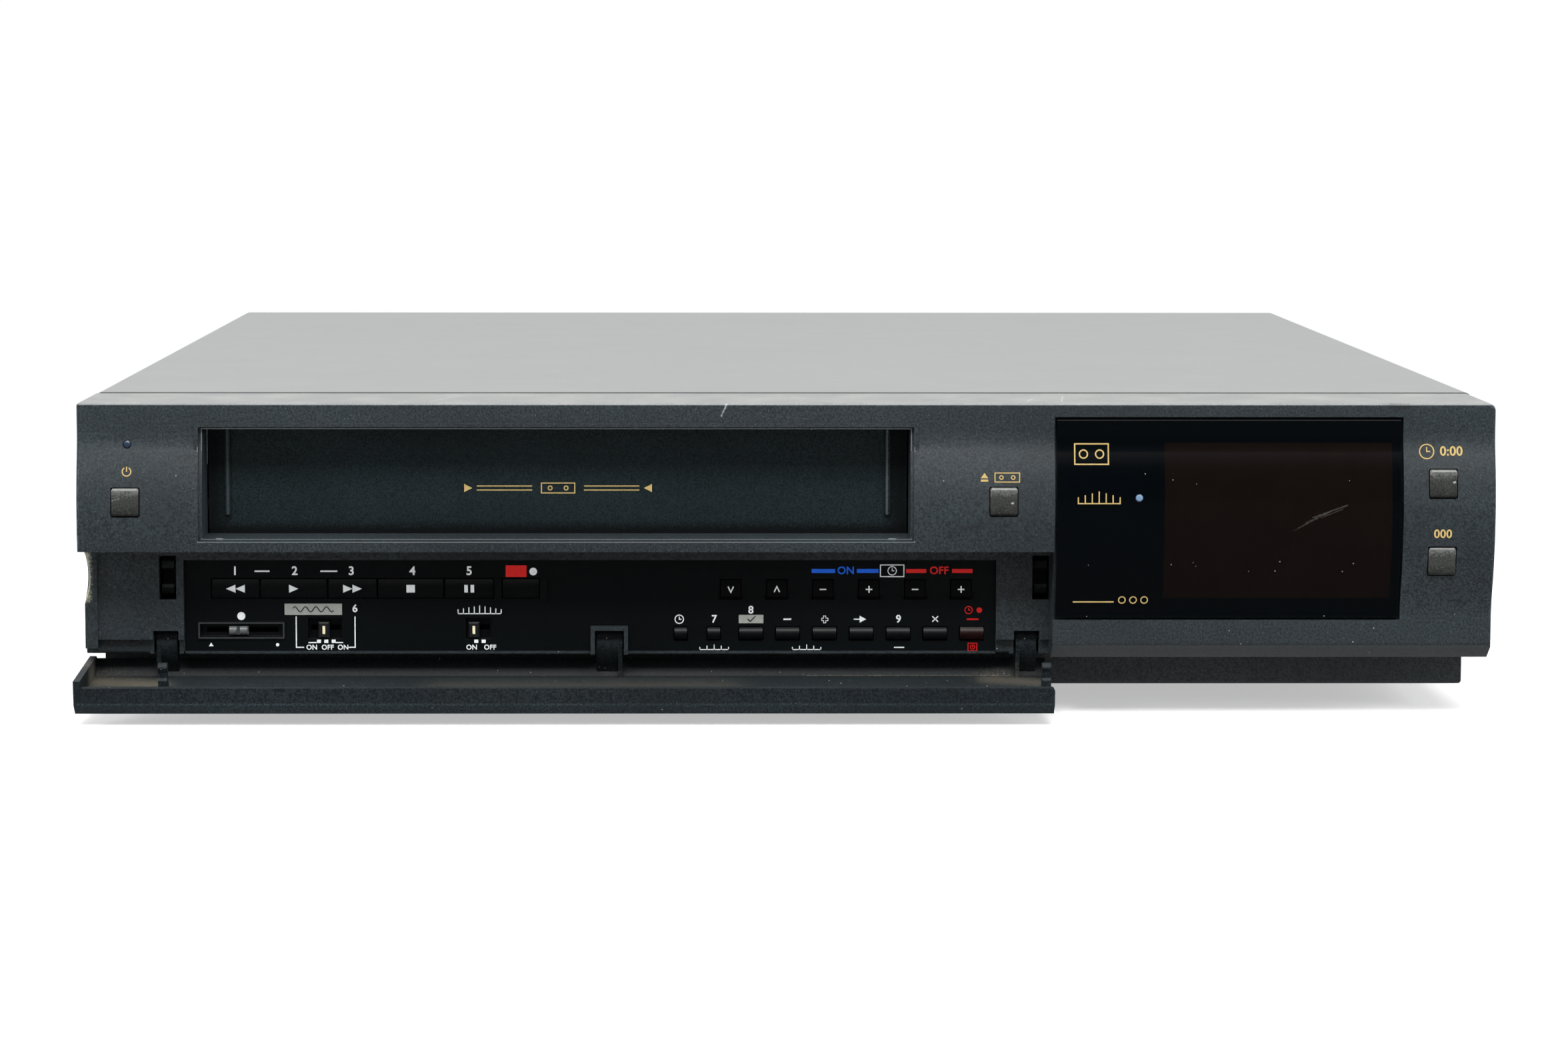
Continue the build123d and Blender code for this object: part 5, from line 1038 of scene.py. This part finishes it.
class RECORDER_OT_cover(RecorderOperator, bpy.types.Operator):
    """Painted steel cover and its screws"""

    bl_idname = "recorder.cover"
    bl_label = "Cover"

    def execute(self, context):
        shade = context.scene.recorder_finish.cover
        s = Finish("cover_paint")
        grain = s.group("grain", {"Vector": s.where, "Pimple size": 0.35 * MM, "Speck share": 0.05})
        dust = s.group("dust", {"Vector": s.where, "Film": 0.10, "Crumb share": 0.02})
        rubbed = s.noise(s.vector("MULTIPLY", s.where, (14.0, 40.0, 14.0)), 1.0, 4.0, 0.6)
        base = s.mix(s.between(rubbed, 0.3, 0.7), scaled(shade, 0.86), scaled(shade, 1.12))
        base = s.mix(s.product(grain["Specks"], 0.4), base, scaled(shade, 2.5))
        base = s.mix(dust["Film"], base, colour(150, 148, 142))
        base = s.mix(s.product(dust["Crumbs"], 0.7), base, colour(210, 210, 206))
        roughness = s.maths("ADD", 0.27, s.product(rubbed, 0.12))
        s.give(Base_Color=base, Roughness=roughness, Specular_IOR_Level=0.9)
        s.bump(grain["Height"], 0.012 * MM)
        dress(s.material, "top_cover")
        dress(metal("screw_black", colour(70, 70, 72), rough=0.4), "cover_screws")
        return {"FINISHED"}


class RECORDER_OT_chassis(RecorderOperator, bpy.types.Operator):
    """Chassis tray and rubber feet"""

    bl_idname = "recorder.chassis"
    bl_label = "Chassis"

    def execute(self, context):
        shade = context.scene.recorder_finish.chassis
        tray = moulded("chassis_black", shade, pimple=0.5, depth=0.03, speck=0.1, crumbs=0.05)
        dress(tray, "bottom_pan")
        rubber = moulded("foot_rubber", colour(30, 30, 31), pimple=0.6, depth=0.02, rough=0.8)
        dress(rubber, "rubber_feet")
        return {"FINISHED"}


class RECORDER_OT_rear(RecorderOperator, bpy.types.Operator):
    """Rear panel and its sockets"""

    bl_idname = "recorder.rear"
    bl_label = "Rear panel"

    def execute(self, context):
        dress(moulded("rear_paint", colour(46, 48, 49), speck=0.02, rough=0.45), "rear_panel")
        dress(metal("tinned_can", colour(176, 176, 172)), "tuner_box")
        black = moulded("socket_black", colour(24, 24, 25), rough=0.4)
        dress(black, "av_sockets", "mains_inlet")
        shapes = [numerals(str(n + 1), 104.0 - 14.0 * n, 40.8, 2.6) for n in range(4)]
        shapes += [arrow_head(136.0, 61.5, 2.4, 2.2), arrow_head(160.0, 61.5, -2.4, 2.2)]
        shapes.append(wave_sign(-150.0, 57.5, 5.2, 0.9, 1.2083, 0.35, 40))
        mirrored = [(points * (-1, 1), [face[::-1] for face in faces]) for points, faces in shapes]
        printed("rear_signs", mirrored, flat_at(REAR_FACE), ink("white"))
        return {"FINISHED"}


class RECORDER_OT_deck(RecorderOperator, bpy.types.Operator):
    """Tape deck behind the flap"""

    bl_idname = "recorder.deck"
    bl_label = "Tape deck"

    def execute(self, context):
        dress(metal("zinc_sheet", colour(178, 178, 170)), "deck_plate", "pinch_arm", "loading_motor")
        # The carriage is made near black as painted shade, so that the slot's inside stays dark
        black = moulded("carriage_black", colour(20, 21, 22), speck=0.02)
        dress(black, "carriage_guides", "cassette_carriage")
        turned = metal("turned_aluminium", colour(205, 206, 208), (900.0, 900.0, 2600.0), 0.22)
        dress(turned, "lower_drum", "upper_drum", "capstan_flywheel")
        dress(metal("head_steel", colour(150, 150, 152), rough=0.25), "tape_heads")
        dress(moulded("reel_black", colour(36, 37, 38)), "supply_reel", "takeup_reel")
        return {"FINISHED"}


class RECORDER_OT_boards(RecorderOperator, bpy.types.Operator):
    """Printed boards: brown laminate with the parts on it darker, and the control board near black as
    painted shade
    """

    bl_idname = "recorder.boards"
    bl_label = "Boards"

    def execute(self, context):
        s = Finish("board_laminate")
        tracks = s.add("TexVoronoi", {"Vector": s.where, "Scale": 260.0}, distance="MANHATTAN")
        path = s.between(tracks.outputs["Distance"], 0.42, 0.46)
        base = s.mix(s.noise(s.where, 1400.0, 2.0), colour(126, 96, 56), colour(150, 118, 74))
        base = s.mix(s.product(path, 0.35), base, colour(92, 110, 60))
        s.give(Base_Color=base, Roughness=0.45)
        dress(s.material, "main_board", "power_supply")
        # The control board, seen through the slider's slot, is made near black as painted shade
        dress(moulded("board_black", colour(12, 13, 14), speck=0.02), "control_board")
        return {"FINISHED"}


class RECORDER_OT_stage(RecorderOperator, bpy.types.Operator):
    """Pale floor, white surroundings, soft lights and the camera"""

    bl_idname = "recorder.stage"
    bl_label = "Stage"

    def glow(self, s, strength):
        """White light given off with this strength."""
        return s.add("Emission", {"Color": (1, 1, 1, 1), "Strength": strength}).outputs[0]

    def blend(self, s, share, first, second):
        """Shader that goes from first to second as share goes from 0 to 1."""
        return s.add("MixShader", {0: share, 1: first, 2: second}).outputs[0]

    def floor(self, settings):
        """Round floor: in its middle it takes the recorder's shadow, further out it is plain white."""
        radius, sides = 30.0, 96
        fade_start, fade_end = 0.35, 0.9
        material = bpy.data.materials.new("floor_white")
        material.use_nodes = True
        material.node_tree.nodes.clear()
        s = Shader(material.node_tree)
        where = s.add("TexCoord").outputs["Object"]
        distance = s.vector("LENGTH", where, output=1)
        shaded = s.add("BsdfDiffuse", {"Color": (0.55, 0.55, 0.55, 1.0)}).outputs[0]
        near = s.add("AddShader", {0: shaded, 1: self.glow(s, settings.floor_white)}).outputs[0]
        seen = self.blend(s, s.between(distance, fade_start, fade_end), near, self.glow(s, 1.0))
        light = s.add("LightPath").outputs
        # Mirrored in shiny surfaces the floor is dark, but less so from just before the face backwards
        under = s.between(s.parts(where)[1], FACE_EDGE - 0.045, FACE_EDGE - 0.02)
        mirrored = self.glow(s, s.maths("ADD", s.product(under, 0.28), 0.05))
        bounced = self.blend(s, light["Is Glossy Ray"], shaded, mirrored)
        both = self.blend(s, light["Is Camera Ray"], bounced, seen)
        s.add("OutputMaterial", {"Surface": both})
        edge, faces = disc(0.0, 0.0, radius, sides)
        new_piece("floor", np.column_stack((edge, np.zeros(sides))), faces, material)

    def surroundings(self, settings):
        """World: white to the camera; to mirrors white behind the recorder, dark in front; soft light."""
        world = bpy.data.worlds.new("studio")
        bpy.context.scene.world = world
        world.use_nodes = True
        world.node_tree.nodes.clear()
        s = Shader(world.node_tree)
        _, ahead, up = s.parts(s.add("TexCoord").outputs["Generated"])
        behind = s.between(ahead, -0.1, 0.35)
        above = s.product(s.between(up, 0.22, 0.5), s.between(up, 0.8, 0.6))
        mirrored = s.maths("ADD", 0.03, s.product(s.maths("MAXIMUM", behind, above), 0.97))
        light = s.add("LightPath").outputs
        glossy = s.maths("MAXIMUM", light["Is Glossy Ray"], light["Is Transmission Ray"])
        plain = s.add("Mix", {0: glossy, 2: settings.ambient, 3: mirrored}, data_type="FLOAT").outputs[0]
        seen = s.add("Mix", {0: light["Is Camera Ray"], 2: plain, 3: 1.0}, data_type="FLOAT").outputs[0]
        background = s.add("Background", {"Color": (1, 1, 1, 1), "Strength": seen})
        s.add("OutputWorld", {"Surface": background.outputs[0]})

    def softbox(self, name, place, target, size, watts, mirrored=True):
        """Rectangular area light at place, turned to target, and mirrored in shiny surfaces or not."""
        lamp = bpy.data.lights.new(name, "AREA")
        lamp.shape = "RECTANGLE"
        lamp.size, lamp.size_y = size
        lamp.energy = watts
        holder = bpy.data.objects.new(name, lamp)
        holder.location = place
        holder.visible_glossy = mirrored
        holder.rotation_euler = (Vector(target) - Vector(place)).to_track_quat("-Z", "Y").to_euler()
        bpy.context.scene.collection.objects.link(holder)

    def camera(self, settings):
        """Camera in front, a little above the recorder."""
        data = bpy.data.cameras.new("camera")
        data.lens = settings.lens
        data.sensor_width = 36.0
        # How far the image is moved, in shares of its width
        data.shift_x, data.shift_y = 0.045, -0.1
        data.clip_end = 100.0
        camera = bpy.data.objects.new("camera", data)
        aside, ahead, up = -26.43, 910.22, 173.09
        camera.location = (aside * MM, FACE_EDGE - ahead * MM, up * MM)
        turn = Euler((math.pi / 2 - settings.pitch, 0.0, -settings.yaw), "XYZ").to_matrix()
        lean = Euler((0.0, 0.0, settings.roll), "XYZ").to_matrix()
        camera.rotation_euler = (turn @ lean).to_euler()
        bpy.context.scene.collection.objects.link(camera)
        bpy.context.scene.camera = camera

    def execute(self, context):
        settings = context.scene.recorder_stage
        self.floor(settings)
        self.surroundings(settings)
        # Places and sizes of the softboxes are in metres
        centre = (0.0, 0.0, 0.05)
        over = FACE_EDGE + 0.2
        self.softbox("top_light", (0.0, over, 1.5), (0.0, over, 0.0), (3.0, 2.2), settings.top_light)
        high = (0.0, FACE_EDGE - 0.73, 1.13)
        self.softbox("front_light", high, centre, (1.2, 0.35), settings.front_light)
        for side in (-1, 1):
            place = (side * 1.2, FACE_EDGE - 0.12, 0.3)
            self.softbox("side_light", place, centre, (0.7, 0.6), settings.side_light, mirrored=False)
        self.camera(settings)
        context.scene.view_settings.view_transform = "Standard"
        return {"FINISHED"}


class RECORDER_PT_sidebar(bpy.types.Panel):
    """Lists the recorder's pieces and its settings"""

    bl_idname = "RECORDER_PT_sidebar"
    bl_label = "Video cassette recorder"
    bl_space_type = "VIEW_3D"
    bl_region_type = "UI"
    bl_category = "Recorder"

    def draw(self, context):
        layout = self.layout
        for operator in OPERATORS:
            layout.operator(operator.bl_idname)
        for holder in ("recorder_finish", "recorder_print", "recorder_stage"):
            settings = getattr(context.scene, holder)
            column = layout.column()
            for name in settings.__annotations__:
                column.prop(settings, name)


OPERATORS = (
    RECORDER_OT_fascia, RECORDER_OT_door, RECORDER_OT_flap, RECORDER_OT_window, RECORDER_OT_fascia_signs,
    RECORDER_OT_buttons, RECORDER_OT_panel, RECORDER_OT_keys, RECORDER_OT_slides, RECORDER_OT_cover,
    RECORDER_OT_chassis, RECORDER_OT_rear, RECORDER_OT_deck, RECORDER_OT_boards, RECORDER_OT_stage,
)
SETTINGS = {
    "recorder_finish": FinishSettings,
    "recorder_print": PrintSettings,
    "recorder_stage": StageSettings,
}


def register():
    """Registers the settings, the operators and the panel."""
    for holder, settings in SETTINGS.items():
        bpy.utils.register_class(settings)
        setattr(bpy.types.Scene, holder, PointerProperty(type=settings))
    for operator in OPERATORS:
        bpy.utils.register_class(operator)
    bpy.utils.register_class(RECORDER_PT_sidebar)


def unregister():
    """Takes back what register did."""
    bpy.utils.unregister_class(RECORDER_PT_sidebar)
    for operator in reversed(OPERATORS):
        bpy.utils.unregister_class(operator)
    for holder, settings in SETTINGS.items():
        delattr(bpy.types.Scene, holder)
        bpy.utils.unregister_class(settings)


def main():
    """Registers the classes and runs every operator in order."""
    register()
    for operator in OPERATORS:
        family, name = operator.bl_idname.split(".")
        getattr(getattr(bpy.ops, family), name)()


if __name__ == "__main__":
    main()
